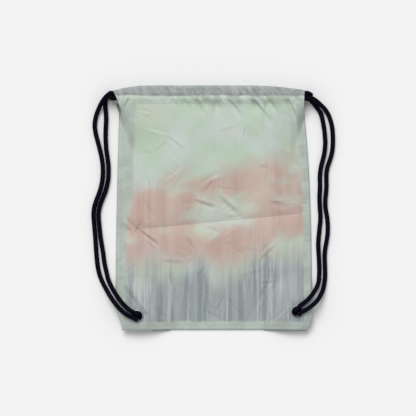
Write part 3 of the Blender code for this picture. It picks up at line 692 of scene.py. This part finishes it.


# The deeper mint is painted shade for the patches below the casing's cords
MINT, PALE_MINT, SHADED_MINT = srgb(185, 203, 182), srgb(193, 206, 198), srgb(148, 162, 143)
BEIGE, FIBRE_SHADE = srgb(200, 197, 182), srgb(150, 158, 152)
BORDER, PALE_BORDER = srgb(168, 178, 169), srgb(181, 193, 185)
BLUSH, ROSE = srgb(200, 173, 162), srgb(188, 155, 145)
SLATE, DEEP_SLATE, PALE_SLATE = srgb(154, 161, 164), srgb(130, 139, 146), srgb(178, 186, 184)
# The darker grey is painted shade for the pleats in the casing's grey band
CASING_GREY, PLEAT_SHADE_GREY = srgb(170, 174, 174), srgb(139, 146, 145)
# The reverse's greens are its own colour darkened partly as painted shade for the inside seen at the slits
SHADED_REVERSE_GREEN, PALE_SHADED_REVERSE = srgb(126, 138, 127), srgb(143, 155, 144)
# The darker navy is painted shade for the gaps between the braid's yarns
NAVY, NAVY_GAP_SHADE = srgb(16, 16, 38), srgb(2, 2, 9)
NICKEL_GREY, DULL_NICKEL = srgb(152, 154, 161), srgb(130, 133, 141)
FLOOR_WHITE = srgb(245, 245, 245)

# Dyed cloth: its weave, its wash, where its bands fade, and where painted shade lies below the casing
WEAVE_PITCH = 0.0007
WASH_SLOPE, WASH_WANDER, STREAK_REACH = 0.16, 0.13, 0.17
BLUSH_FOOT, BLUSH_HEAD, SLATE_HEAD = (-0.125, -0.050), (0.100, 0.030), (-0.050, -0.140)
BORDER_FADE, BORDER_WANDER = (0.0195, 0.0155), 0.006
GREY_FADE, GREY_WANDER = (GROOVE_LINE - 0.0022, GROOVE_LINE + 0.0004), 0.012
# Painted shade below the casing: darker mint patches fade in from 10 mm below its sewn line, and from the
# left towards the middle
PAINTED_SHADE_FOOT, PAINTED_SHADE_LEFT = (STITCH_LINE - 0.010, STITCH_LINE + 0.002), (-0.085, -0.010)


def shader_socket(finish, label):
    shader = finish.node_tree.nodes["Principled BSDF"]
    return shader.inputs[label.replace("_", " ").title().replace("Ior", "IOR")]


def plain_finish(name, **constants):
    """A new material with constant values on its shader's own sockets."""
    made = bpy.data.materials.new(name)
    made.use_nodes = True
    for label, value in constants.items():
        shader_socket(made, label).default_value = value
    return made


def feed(finish, **links):
    """Links what changes over the surface to the material's shader."""
    for label, value in links.items():
        finish.node_tree.links.new(value.socket, shader_socket(finish, label))
    return finish


def object_place(finish):
    """Object coordinates, as a wire in the material's tree."""
    return Wire(finish.node_tree).node("ShaderNodeTexCoord", out=3)


def weave(place):
    """Height of a plain weave: warp and weft take turns on top."""
    warp, weft = ((place.axis(number) * (math.pi / WEAVE_PITCH)).math("SINE") for number in (0, 1))
    return warp * weft


def cloud(place, scale, detail=2.0, stretch=(1, 1, 1), shift=0.0, rough=0.5):
    """Soft noise, stretched, and shifted so that no two clouds are alike."""
    moved = place.node("ShaderNodeMapping", {0: place, 1: (shift, shift, 0), 3: stretch})
    return moved.noise(scale, detail, rough)


def leaning_cloud(place, scale, detail, lean, stretch):
    """Soft noise in streaks that lean as the gathers do."""
    x, y = place.axis(0), place.axis(1)
    return place.node("ShaderNodeCombineXYZ", {0: x + y * lean, 1: y * stretch}).noise(scale, detail)


def dip_dye(place):
    """The wash: a mint ground, a blush band, and slate wicking up from below in straight streaks."""
    drift = place.axis(1) - place.axis(0) * WASH_SLOPE + cloud(place, 7, 3) * WASH_WANDER - WASH_WANDER / 2
    streaks = cloud(place, 5, 6, (9, 0.5, 1), 3.1, 0.6)
    strokes = cloud(place, 6, 6, (28, 0.9, 1), 9.4, 0.66)
    patches = cloud(place, 11, 5, (1, 1.5, 1), 7.7)
    blush = drift.ramp(*BLUSH_FOOT) * drift.ramp(*BLUSH_HEAD) * patches.ramp(0.32, 0.54) * 0.92
    slate = (drift + streaks * STREAK_REACH - STREAK_REACH / 2).ramp(*SLATE_HEAD)
    ground = cloud(place, 16, 4, shift=1.3).ramp(0.35, 0.65).mix(MINT, PALE_MINT)
    ground = (cloud(place, 14, 3, shift=2.6).ramp(0.46, 0.70) * 0.55).mix(ground, BEIGE)
    rosy = streaks.ramp(0.38, 0.62).mix(BLUSH, ROSE)
    slaty = streaks.ramp(0.44, 0.54).mix(DEEP_SLATE, SLATE)
    slaty = (strokes.ramp(0.52, 0.60) * 0.85).mix(slaty, PALE_SLATE)
    return (slate * 0.92).mix(blush.mix(ground, rosy), slaty)


def dyed_polyester():
    """Pale polyester: a dip-dyed wash, a plain border inside the seams, a grey band over the cords, and
    painted shade in leaning patches below the cords and in leaning streaks over the grey band.
    """
    made = plain_finish("dyed_polyester", sheen_weight=0.12, sheen_roughness=0.4)
    place = object_place(made)
    x, y = place.axis(0), place.axis(1)
    border = (place.attribute("inset") + cloud(place, 60) * BORDER_WANDER).ramp(*BORDER_FADE)
    bordered = cloud(place, 34, 4, shift=8.0).ramp(0.38, 0.62).mix(BORDER, PALE_BORDER)
    colour = (border * 0.9).mix(dip_dye(place), bordered)
    # Painted shade: leaning patches of deeper mint below the casing's cords, where the gathers would shade
    # the cloth
    shade_patches = leaning_cloud(place, 62, 3, 0.8, 0.35).ramp(0.40, 0.58)
    below_cords = y.ramp(*PAINTED_SHADE_FOOT) * x.ramp(*PAINTED_SHADE_LEFT)
    colour = (shade_patches * below_cords * 0.55).mix(colour, SHADED_MINT)
    grey = (y + cloud(place, 70, 3, shift=5.0) * GREY_WANDER - GREY_WANDER / 2).ramp(*GREY_FADE)
    # Painted shade: leaning darker streaks in the grey band stand for the shade of its pleats
    pleat_shade = leaning_cloud(place, 85, 5, 0.5, 0.6).ramp(0.34, 0.66).mix(PLEAT_SHADE_GREY, CASING_GREY)
    colour = (grey * 0.92).mix(colour, pleat_shade)
    fibre, thread = cloud(place, 420), weave(place)
    colour = (fibre.ramp(0.3, 0.7) * 0.10 + thread * 0.03).mix(colour, FIBRE_SHADE)
    height = thread * 0.35 + fibre * 0.5 + cloud(place, 120, 3) * 0.8
    return feed(made, base_color=colour, roughness=fibre * 0.16 + 0.52, normal=height.bump(0.35, 0.0004))


def reverse_polyester():
    """The undyed reverse of the cloth, in greens darkened partly as painted shade for the inside that shows
    at the slits.
    """
    made = plain_finish("reverse_polyester", sheen_weight=0.1, sheen_roughness=0.5)
    place = object_place(made)
    tone = place.noise(30, 3)
    colour = tone.ramp(0.3, 0.7).mix(SHADED_REVERSE_GREEN, PALE_SHADED_REVERSE)
    return feed(made, base_color=colour, roughness=tone * 0.1 + 0.62, normal=weave(place).bump(0.3, 0.0003))


def braided_cord():
    """Matt navy braid, with painted shade: its colour darkens from the yarns' crowns into the gaps between
    them.
    """
    made = plain_finish("braided_cord", specular_ior_level=0.05)
    place = object_place(made)
    fibre = place.noise(900, 2)
    # Painted shade: the colour darkens where the yarn relief is low
    colour = (place.attribute("yarn") * 0.75 + fibre * 0.25).ramp(0.25, 0.95).mix(NAVY_GAP_SHADE, NAVY)
    return feed(made, base_color=colour, roughness=fibre * 0.2 + 0.62, normal=fibre.bump(0.4, 0.0002))


def satin_nickel():
    """Pale plated metal with a cloudy tone and small scuffs."""
    made = plain_finish("satin_nickel", metallic=1.0)
    place = object_place(made)
    scuff = place.noise(700, 3)
    colour = place.noise(160, 2).ramp(0.3, 0.75).mix(NICKEL_GREY, DULL_NICKEL)
    return feed(made, base_color=colour, roughness=scuff * 0.18 + 0.40, normal=scuff.bump(0.15, 0.0001))


def sewing_thread(name, low, high):
    """Polyester thread between two shades."""
    made = plain_finish(name, sheen_weight=0.2)
    ply = object_place(made).noise(1500, 1)
    return feed(made, base_color=ply.ramp(0.3, 0.7).mix(low, high), roughness=ply * 0.2 + 0.5)


DYED, REVERSE = dyed_polyester(), reverse_polyester()
BRAID, NICKEL = braided_cord(), satin_nickel()
THREAD = sewing_thread("sewing_thread", srgb(150, 160, 154), srgb(186, 195, 190))
DARK_THREAD = sewing_thread("dark_sewing_thread", srgb(48, 54, 58), srgb(84, 92, 94))
PALE_THREAD = sewing_thread("pale_sewing_thread", srgb(208, 214, 212), srgb(226, 231, 229))


# Geometry node trees

def spoken(label):
    return label.replace("_", " ").capitalize()


def growing_tree(name, **inputs):
    """A tree with named inputs: a wire, the input sockets, and its line cut into steps of one spacing."""
    tree = bpy.data.node_groups.new(name, "GeometryNodeTree")
    tree.interface.new_socket("Geometry", in_out="OUTPUT", socket_type="NodeSocketGeometry")
    for label, kind in {"geometry": "Geometry", "spacing": "Float", "finish": "Material", **inputs}.items():
        tree.interface.new_socket(spoken(label), in_out="INPUT", socket_type=f"NodeSocket{kind}")
    wire = Wire(tree)
    entry = {socket.name: Wire(tree, socket) for socket in tree.nodes.new("NodeGroupInput").outputs}
    line = wire.node("GeometryNodeMeshToCurve", {0: entry["Geometry"]})
    line = wire.node("GeometryNodeResampleCurve", {0: line, "Length": entry["Spacing"]}, mode="LENGTH")
    return wire, entry, line


def close_tree(shape, entry):
    """Ends a tree in plain smooth geometry with its material."""
    shape = shape.node("GeometryNodeRealizeInstances", {0: shape})
    shape = shape.node("GeometryNodeSetShadeSmooth", {0: shape})
    shape = shape.node("GeometryNodeSetMaterial", {0: shape, "Material": entry["Finish"]})
    shape.tree.links.new(shape.socket, shape.tree.nodes.new("NodeGroupOutput").inputs[0])
    return shape.tree


def grow(name, points, tree, **values):
    """Runs a tree along a line of points and gives the result as a plain mesh object."""
    line = bpy.data.meshes.new(name)
    line.from_pydata([tuple(p) for p in points], [(i, i + 1) for i in range(len(points) - 1)], [])
    made = add_piece(name, line)
    growth = made.modifiers.new(tree.name, "NODES")
    growth.node_group = tree
    values = {spoken(label): value for label, value in values.items()}
    for item in tree.interface.items_tree:
        if item.in_out == "INPUT" and item.name in values:
            growth[item.identifier] = values[item.name]
    made.data = plain_mesh(made)
    made.modifiers.clear()
    bpy.data.meshes.remove(line)
    return made


def braid_tree():
    """A round braid along a line: two sets of yarns cross, and each passes over and under in turn."""
    wire, entry, line = growing_tree("round_braid", radius="Float", sides="Int", yarns="Float", lay="Float",
                                     relief="Float")
    far = wire.node("GeometryNodeSplineParameter", out=1)
    near_end = far.math("MINIMUM", wire.node("GeometryNodeSplineLength") - far) / entry["Radius"]
    ball = 1 - near_end.math("MINIMUM", 1.0)
    line = line.store("far", far).store("size", (1.0004 - ball * ball).math("SQRT"))
    ring = wire.node("GeometryNodeCurvePrimitiveCircle",
                     {"Resolution": entry["Sides"], "Radius": entry["Radius"] - entry["Relief"]})
    ring = ring.store("turn", wire.node("GeometryNodeSplineParameter"))
    size = wire.stored("size")
    tube = wire.node("GeometryNodeCurveToMesh", {0: line, 1: ring, "Scale": size, "Fill Caps": True})
    around, along = wire.stored("turn") * entry["Yarns"], wire.stored("far") / entry["Lay"]
    first, second = ((way * math.pi).math("SINE") for way in (around + along, around - along))
    over = (first * second).math("GREATER_THAN", 0.0)
    yarn = (abs(first) ** (1 - over * 0.62)) * (abs(second) ** (0.38 + over * 0.62))
    tube = tube.store("yarn", yarn)
    swell = wire.node("ShaderNodeVectorMath", {0: wire.node("GeometryNodeInputNormal"),
                                               "Scale": yarn * entry["Relief"] * size}, operation="SCALE")
    tube = wire.node("GeometryNodeSetPosition", {0: tube, "Offset": swell})
    return close_tree(tube, entry)


def stitch_tree():
    """A row of lock stitches along a line, each a short plump thread."""
    wire, entry, line = growing_tree("stitch_row", stitch_length="Float", thread_radius="Float", seed="Int")
    thread = wire.node("GeometryNodeMeshUVSphere", {"Segments": 6, "Rings": 4, "Radius": 1.0})
    size = wire.node("ShaderNodeCombineXYZ", {0: entry["Stitch length"] * 0.5, 1: entry["Thread radius"],
                                              2: entry["Thread radius"]})
    thread = wire.node("GeometryNodeTransform", {0: thread, "Scale": size})
    heading = wire.node("FunctionNodeAlignRotationToVector",
                        {"Vector": wire.node("GeometryNodeInputTangent")}, axis="X")
    uneven = wire.node("FunctionNodeRandomValue", {2: 0.85, 3: 1.1, "Seed": entry["Seed"]}, out=1)
    row = wire.node("GeometryNodeInstanceOnPoints",
                    {0: line, "Instance": thread, "Rotation": heading, "Scale": uneven})
    return close_tree(row, entry)


BRAID_TREE, STITCH_TREE = braid_tree(), stitch_tree()


# Cords

def smooth_route(points):
    """Points about one step apart on a smooth curve through the chosen points."""
    points = [Vector(p) for p in points]
    ends = [2 * points[0] - points[1]] + points + [2 * points[-1] - points[-2]]
    fine = []
    for a, b, c, d in zip(ends, ends[1:], ends[2:], ends[3:]):
        for k in range(ROUTE_CUTS):
            t = k / ROUTE_CUTS
            fine.append(0.5 * (2 * b + (c - a) * t + (2 * a - 5 * b + 4 * c - d) * t ** 2
                               + (3 * b - a - 3 * c + d) * t ** 3))
    fine.append(points[-1])
    route = [fine[0]]
    for point in fine:
        if (point - route[-1]).length >= ROUTE_STEP:
            route.append(point)
    if (fine[-1] - route[-1]).length < 0.6 * ROUTE_STEP:
        route.pop()
    return route + [fine[-1]]


def with_caps(route):
    """The route with half a cord's thickness more at each end, for its rounded tips."""
    head = route[0] + (route[0] - route[1]).normalized() * CORD / 2
    tail = route[-1] + (route[-1] - route[-2]).normalized() * CORD / 2
    return [head] + route + [tail]


def braid(name, route, node, body="bag", fineness=FINE_BRAID):
    """A stretch of braided cord along a route, in place of one of the model's solids."""
    ring_step, sides = fineness
    made = grow(name, with_caps(route), BRAID_TREE, finish=BRAID, spacing=ring_step, sides=sides,
                radius=CORD / 2, yarns=float(YARNS), lay=YARN_LAY, relief=YARN_RELIEF)
    return dress(made, "braided_cord", node, body=body)


def free_cord(piece, route):
    length = sum((b - a).length for a, b in zip(route, route[1:]))


def turn_route(mouth, out, depth, slack, droop):
    """A cord's turn outside a mouth, with a leg inside each casing."""
    y = MOUTH_TOP - depth
    centre, half = (LOW_RUN + HIGH_RUN) / 2, (HIGH_RUN - LOW_RUN) / 2
    inside = mouth - out * TURN_LEG
    route = [(inside, y, HIGH_RUN)]
    for k in range(TURN_STEPS + 1):
        a = math.pi / 2 - math.pi * k / TURN_STEPS
        reach = slack + TURN_REACH * math.cos(a)
        route.append((mouth + out * reach, y - droop * math.cos(a), centre + half * math.sin(a)))
    return [Vector(p) for p in route + [(inside, y, LOW_RUN)]]


def tail_route(node, eye, out):
    """From a knot to the tip of one of its tails, which lies on the floor."""
    low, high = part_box(node)
    tip = low.x + CORD / 2 if out < 0 else high.x - CORD / 2
    return smooth_route([(eye.x + out * TAIL_FROM, eye.y, KNOT_RADIUS),
                         (eye.x + out * TAIL_BEND, eye.y, KNOT_RADIUS),
                         (tip - out * TAIL_SWAY, eye.y + TAIL_DROP_Y, TAIL_DROP_Z),
                         (tip, high.y - CORD / 2, LYING)])


def knot_route(eye):
    """Cord wound round a line across the bag, under an eyelet."""
    coil = KNOT_RADIUS - CORD / 2
    route = []
    for k in range(KNOT_STEPS + 1):
        a = TAU * KNOT_TURNS * (k / KNOT_STEPS - 0.5)
        route.append(Vector((eye.x + (CORD + KNOT_PLAY) * a / TAU, eye.y + coil * math.sin(a),
                             KNOT_RADIUS + coil * math.cos(a))))
    return route


for name, points in STRANDS.items():
    route = smooth_route(points)
    free_cord(braid(f"{name}_braided_strand", route, f"{name}_strand", f"{name}_cord"), route)

for side, points in LEADS.items():
    inside = Vector(points[0]) + Vector((INWARD[side] * LEAD_LEG, 0, 0))
    route = smooth_route([inside, *points, STRANDS[f"{side}_inner"][0]])
    free_cord(braid(f"{side}_braided_lead", route, f"{side}_inner_cord_lead"), route)

for side, mouth, out, depth, slack, droop, body in (
        ("left", RIGHT_MOUTH, 1, CORD_DEPTHS[0], LEFT_CORD_SLACK, TURN_DROOP, "left_drawcord"),
        ("right", LEFT_MOUTH, -1, CORD_DEPTHS[1], RIGHT_CORD_SLACK, 0.0, "bag")):
    braid(f"{side}_braided_turn", turn_route(mouth, out, depth, slack, droop), f"{side}_cord_turn", body)

for side, depth, body in (("left", CORD_DEPTHS[0], "left_drawcord"), ("right", CORD_DEPTHS[1], "bag")):
    y = MOUTH_TOP - depth
    legs = (LEAD_LEG, TURN_LEG) if side == "left" else (TURN_LEG, LEAD_LEG)
    ends = [LEFT_MOUTH + legs[0] + RUN_GAP, RIGHT_MOUTH - legs[1] - RUN_GAP]
    back_run = [Vector((x, y, LOW_RUN)) for x in ends]
    braid(f"{side}_braided_back_run", back_run, f"{side}_cord_back_run", body, HIDDEN_BRAID)
    strand_end = Vector(STRANDS[f"{side}_outer"][0])
    ends[0 if side == "left" else 1] = strand_end.x + INWARD[side] * CORD / 2
    for half, stretch in (("left", (ends[0], 0.0)), ("right", (0.0, ends[1]))):
        front_run = [Vector((x, y, HIGH_RUN)) for x in stretch]
        braid(f"{side}_braided_front_run_{half}", front_run, f"{side}_cord_front_run", "mouth_front")

for side, eye in EYELETS.items():
    for where, out in (("outer", -INWARD[side]), ("inner", INWARD[side])):
        end = Vector(STRANDS[f"{side}_{where}"][-1])
        knot_top = Vector((end.x, end.y, 2 * KNOT_RADIUS - KNOT_SINK))
        braid(f"{side}_{where}_braided_end", [end, knot_top], f"{side}_{where}_cord_end")
        tail = f"{side}_{where}_cord_tail"
        braid(f"{side}_{where}_braided_tail", tail_route(tail, eye, out), tail)
    braid(f"{side}_braided_knot", knot_route(eye), f"{side}_knot")


# Panels

def halves(name, grid, normals, inset, node, closed=False):
    """Cloth for the mouth, made in a left and a right half that meet in the middle."""
    made = []
    for half, part in HALVES.items():
        piece = cloth(f"{name}_{half}", grid[:, part], normals[:, part], DYED, inset[:, part], closed)
        made.append(dress(piece, "printed_polyester", node, body="mouth_front"))
    return made


low_rows = shares(BOTTOM, FOLD_HEIGHT, crowd_low=True)
front_low = panel_grid(low_rows, level(BOTTOM), fold_line, slit_notch, front_height)
lower = cloth("front_cloth_lower", front_low, grid_normals(front_low), DYED, panel_inset(front_low))
dress(lower, "printed_polyester", "front_panel_lower")

high_rows = shares(FOLD_HEIGHT, STITCH_LINE)
front_high = panel_grid(high_rows, fold_line, level(STITCH_LINE), slit_notch, front_height)
for upper in halves("front_cloth_upper", front_high, grid_normals(front_high), panel_inset(front_high),
                    "front_panel_upper"):
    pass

back_rows = shares(BOTTOM, STITCH_LINE, crowd_low=True, spacing=BACK_STEP)
back_grid = panel_grid(back_rows, level(BOTTOM), level(STITCH_LINE), back_flare, back_height)
back = cloth("back_cloth", back_grid, grid_normals(back_grid), DYED, panel_inset(back_grid), flip=True)
dress(back, "printed_polyester", "back_panel")


# Casings

def casing_stations():
    """Rows down the outer face, round the top and up the lining: share of the way down, and face."""
    face = [1 - 0.5 * (1 - math.cos(math.pi * k / (FACE_ROWS - 1))) * FACE_SHARE for k in range(FACE_ROWS)]
    rim = [RIM_SHARE * (1 - math.sin(math.pi * k / (RIM_ROWS + 1))) for k in range(1, RIM_ROWS + 1)]
    outer = RIM_ROWS // 2 + 1
    return [(f, 1) for f in face + rim[:outer]] + [(f, -1) for f in rim[outer:] + face[::-1]]


def casing_grid(floor, join, relief, notch):
    """A tunnel of cloth over two straight cords, flat along its sewn line, where its level is join(x)."""
    low_left, low_right = side_edges(STITCH_LINE, notch)
    half, middle = CASING_THICK / 2 - FLOOR_GAP, floor + CASING_THICK / 2
    rows = []
    for fraction, face in casing_stations():
        left = LEFT_TIP + fraction * (low_left - LEFT_TIP)
        right = RIGHT_TIP + fraction * (low_right - RIGHT_TIP)
        x = left + ACROSS * (right - left)
        top = top_edge(x)
        y = top - fraction * (top - STITCH_LINE)
        depth = top - y
        lowest = top - MOUTH_TOP + CORD_DEPTHS[1]
        lip = np.clip(top - MOUTH_TOP + CORD_DEPTHS[0], LIP_LEAST, LIP_MOST)
        crown = half * np.sqrt(1 - (1 - np.clip(depth / lip, 0, 1)) ** 2)
        below_cords = np.clip((depth - lowest) / (top - STITCH_LINE - lowest), 0, 1)
        sewn = 1 - (1 - below_cords ** 2.2) ** 1.8
        if face > 0:
            z = (middle + crown) * (1 - sewn) + sewn * join(x) + relief(x, y)
            for cord_depth in CORD_DEPTHS:
                over = CORD_COVER ** 2 - (MOUTH_TOP - cord_depth - y) ** 2
                z = np.where(over > 0, np.maximum(z, middle + np.sqrt(np.maximum(over, 0))), z)
        else:
            lining = np.maximum(join(x) + relief(x, y) - LINING_DROP, floor + FLOOR_GAP)
            z = (middle - crown) * (1 - sewn) + sewn * lining
        rows.append(np.stack([x, y, z], axis=-1))
    return np.array(rows)


def front_join(x):
    y = STITCH_LINE + 0 * x
    return front_height(x, y) - gathers(x, y)


def front_relief(x, y):
    """Gathers, fine ripples and the groove between the cords on the front casing."""
    ripple = uneven_wave(x, RIPPLE_LENGTH, 2.3, RIPPLE_DRIFT, RIPPLE_LEAN * y)
    inside = smooth(0, RIPPLE_TOP, top_edge(x) - y) * smooth(STITCH_LINE, STITCH_LINE + RIPPLE_SEWN, y)
    folds = gathers(x, y) * (1 - HELD_SHARE * smooth(HELD_FROM, HELD_FULL, y))
    uneven = 0.7 + 0.3 * np.sin(TAU * x / GROOVE_LENGTH)
    groove = GROOVE_DEPTH * uneven * np.exp(-((y - GROOVE_LINE) / GROOVE_WIDTH) ** 2)
    return folds + (RIPPLE_HEIGHT * ripple - groove) * inside


def back_relief(x, y):
    """The back casing lies flat."""
    return 0 * x


def no_border(grid):
    return np.full(grid.shape[:2], NO_BORDER)


front_tunnel = casing_grid(FRONT_FLOOR, front_join, front_relief, slit_notch)
halves("front_casing", front_tunnel, grid_normals(front_tunnel, closed=True), no_border(front_tunnel),
       "front_casing", closed=True)
back_tunnel = casing_grid(0.0, level(BACK_JOIN), back_relief, back_flare)
back_casing = cloth("back_casing_cloth", back_tunnel, grid_normals(back_tunnel, closed=True), DYED,
                    no_border(back_tunnel), closed=True)
dress(back_casing, "printed_polyester", "back_casing")


# Seam allowances and corner patches

def between(x, y):
    """Upper face of a layer that lies between the two panels, a little wavy."""
    wave = np.sin(TAU * x / LAYER_LENGTHS[0]) * np.sin(TAU * y / LAYER_LENGTHS[1])
    return back_height(x, y) + CLOTH + LAYER_LIFT + LAYER_WAVE * wave


def inner_layer(name, x, y, node):
    x, y = np.broadcast_arrays(x, y)
    grid = np.stack([x, y, between(x, y)], axis=-1)
    dress(cloth(name, grid, grid_normals(grid), REVERSE), "seam_polyester", node)


seam_y = np.linspace(SIDE_SEAM_FROM, SEAM_TOP, 180)[:, None]
inner_layer("left_seam_allowance", left_edge(seam_y) + SEAM_SPAN, seam_y, "left_side_seam")
inner_layer("right_seam_allowance", right_edge(seam_y) - SEAM_SPAN[::-1], seam_y, "right_side_seam")
bottom_x = np.linspace(left_edge(BOTTOM) + BOTTOM_SEAM_INSET, right_edge(BOTTOM) - BOTTOM_SEAM_INSET, 220)
inner_layer("bottom_seam_allowance", bottom_x, BOTTOM + SEAM_SPAN[:, None], "bottom_seam")

patch_rows = np.linspace(0, 1, 52)[:, None]
patch_y = BOTTOM + PATCH_INSET + patch_rows * PATCH_HEIGHT
patch_x = PATCH_INSET + np.linspace(0, 1, 44) * PATCH_WIDTH * (1 - PATCH_TAPER * patch_rows)
inner_layer("left_corner_cloth", left_edge(patch_y) + patch_x, patch_y, "left_corner_patch")
inner_layer("right_corner_cloth", right_edge(patch_y) - patch_x[:, ::-1], patch_y, "right_corner_patch")


# Stitching

def stitches(name, x, y, height, body="bag", pitch=STITCH_PITCH, radius=THREAD_RADIUS, finish=THREAD):
    """A row of stitches over points of the cloth."""
    x, y = np.broadcast_arrays(np.asarray(x, float), np.asarray(y, float))
    points = np.stack([x, y, height(x, y)], axis=-1)
    row = grow(name, points, STITCH_TREE, finish=finish, spacing=pitch, stitch_length=STITCH_SHARE * pitch,
               thread_radius=radius, seed=len(name))
    dress(row, "seam_polyester", body=body)


def on_front(x, y):
    return front_height(x, y) + FRONT_LIFT


def under_back(x, y):
    return back_height(x, y) + BACK_LIFT


def on_casing(x, y):
    face = front_tunnel[:FACE_ROWS].reshape(-1, 3)
    nearest = [np.argmin(np.hypot(face[:, 0] - px, face[:, 1] - py)) for px, py in zip(x, y)]
    return face[nearest, 2] + CASING_LIFT


for side, edge in EDGES.items():
    inward = INWARD[side]
    hem_x = np.linspace(edge(STITCH_LINE) + inward * ROW_INSET, inward * -MIDDLE_GAP, 160)
    stitches(f"{side}_casing_stitches", hem_x, STITCH_LINE, on_front, "mouth_front")
    low_y = np.linspace(BOTTOM + CORNER_INSET, FOLD_HEIGHT - inward * FOLD_RISE, 160)
    stitches(f"{side}_lower_stitches", edge(low_y) + inward * SEAM_INSET, low_y, on_front)
    high_y = np.linspace(low_y[-1] + ROW_INSET, SEAM_TOP, 160)
    stitches(f"{side}_upper_stitches", edge(high_y) + inward * SEAM_INSET, high_y, on_front, "mouth_front")
    tack_x = edge(SEAM_TOP) + inward * np.linspace(TACK_FROM, TACK_TO, 20)
    stitches(f"{side}_bartack", tack_x, SEAM_TOP, on_front, "bag", *TACK_STITCH)
hem_x = np.linspace(left_edge(BOTTOM) + CORNER_INSET, right_edge(BOTTOM) - CORNER_INSET, 200)
stitches("bottom_stitches", hem_x, BOTTOM + SEAM_INSET, on_front)
hem_x = np.linspace(left_edge(STITCH_LINE) + ROW_INSET, right_edge(STITCH_LINE) - ROW_INSET, 200)
stitches("back_casing_stitches", hem_x, BACK_ROW, under_back, radius=BACK_THREAD)
for side, second, finish in (("left", (0.0026, 0.0021), DARK_THREAD),
                             ("right", (0.0026, -0.0026), PALE_THREAD)):
    for count, shift in (("first", (0, 0)), ("second", second)):
        patch_x, patch_y = (np.linspace(*PATCH_SEAMS[side], 60) + shift).T
        stitches(f"{side}_patch_{count}_row", patch_x, patch_y, on_front, "bag", *PATCH_STITCH, finish)
for side, start, end in (("left", -0.104, -0.075), ("right", 0.088, 0.159)):
    edge_x = np.linspace(start, end, 60)
    stitches(f"{side}_bottom_edge_row", edge_x, EDGE_ROW, on_front, "bag", *EDGE_STITCH, DARK_THREAD)
for side, start, end, finish in (("left", (-0.1632, 0.1995), (-0.1618, 0.1835), DARK_THREAD),
                                 ("right", (0.1515, 0.1955), (0.1500, 0.1825), PALE_THREAD)):
    end_x, end_y = np.linspace(start, end, 40).T
    stitches(f"{side}_casing_end_row", end_x, end_y, on_casing, "mouth_front", *END_STITCH, finish)


# Eyelets

def turned(name, centre, profile, finish, segments=72):
    """A ring turned about the vertical line through centre from a closed profile of (radius, height)."""
    count = len(profile)
    points, faces = [], []
    for k in range(segments):
        a = TAU * k / segments
        points += [(centre.x + r * math.cos(a), centre.y + r * math.sin(a), z) for r, z in profile]
        for j in range(count):
            here, there = k * count, (k + 1) % segments * count
            faces.append((here + j, there + j, there + (j + 1) % count, here + (j + 1) % count))
    mesh = bpy.data.meshes.new(name)
    mesh.from_pydata(points, [], faces)
    mesh.shade_smooth()
    return add_piece(name, mesh, finish)


def rounded(points, radius, count=4):
    """A closed profile with each corner cut round."""
    result = []
    for before, at, after in zip(points[-1:] + points[:-1], points, points[1:] + points[:1]):
        at, into, away = Vector(at), Vector(before) - Vector(at), Vector(after) - Vector(at)
        cut = min(radius, 0.45 * into.length, 0.45 * away.length)
        start, end = at + into.normalized() * cut, at + away.normalized() * cut
        for k in range(count + 1):
            t = k / count
            result.append(tuple((1 - t) ** 2 * start + 2 * t * (1 - t) * at + t ** 2 * end))
    return result


def eyelet_profile(low, high):
    """A domed flange on a barrel whose lower end is rolled out."""
    return rounded([
        (EYELET_RADIUS, high - 0.0012), (EYELET_RADIUS - 0.0003, high - 0.0004),
        (EYELET_RADIUS - 0.0018, high + 0.0001), (BORE_RADIUS + 0.0005, high - 0.0001),
        (BORE_RADIUS, high - 0.0009), (BORE_RADIUS, low), (FLANGE_CURL, low),
        (FLANGE_CURL, low + CURL_THICK), (BARREL, low + CURL_THICK), (BARREL, high - 0.0013)], RING_ROUND)


def washer_profile(low, high):
    """A flat ring round the barrel."""
    inner = BARREL + WASHER_PLAY
    corners = [(EYELET_RADIUS, high), (inner, high), (inner, low), (EYELET_RADIUS, low)]
    return rounded(corners, WASHER_ROUND)[::-1]


for side, eye in EYELETS.items():
    for piece, node, profile in ((f"{side}_eyelet_ring", f"{side}_eyelet", eyelet_profile),
                                 (f"{side}_washer_ring", f"{side}_eyelet_washer", washer_profile)):
        low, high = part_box(node)
        dress(turned(piece, eye, profile(low.z, high.z), NICKEL), "satin_nickel", node)


# Camera, floor and light

camera_data = bpy.data.cameras.new("camera")
camera_data.sensor_width = 36
camera_data.lens = camera_data.sensor_width * VIEW_HEIGHT / (FRAME_PIXELS * PIXEL)
camera_data.clip_end = 20
camera = add_piece("camera", camera_data)
camera.location = VIEW_CENTRE + Vector((0, 0, VIEW_HEIGHT))
bpy.context.scene.camera = camera

floor_mesh = bpy.data.meshes.new("floor")
corners = [(x * FLOOR_REACH, y * FLOOR_REACH, FLOOR_LEVEL) for x, y in ((-1, -1), (1, -1), (1, 1), (-1, 1))]
floor_mesh.from_pydata(corners, [], [(0, 1, 2, 3)])
studio_floor = plain_finish("studio_floor", base_color=FLOOR_WHITE, roughness=0.9, specular_ior_level=0.1)
add_piece("floor", floor_mesh, studio_floor)

world = bpy.data.worlds.new("studio")
world.use_nodes = True
backdrop = world.node_tree.nodes["Background"]
backdrop.inputs["Color"].default_value = (1, 1, 1, 1)
backdrop.inputs["Strength"].default_value = SKY_STRENGTH
bpy.context.scene.world = world

key_data = bpy.data.lights.new("key", "SUN")
key_data.energy = KEY_STRENGTH
key_data.angle = math.radians(KEY_ANGLE)
key = add_piece("key", key_data)
key.rotation_euler = KEY_DIRECTION.to_track_quat("-Z", "Y").to_euler()

bpy.context.scene.view_settings.view_transform = "Standard"
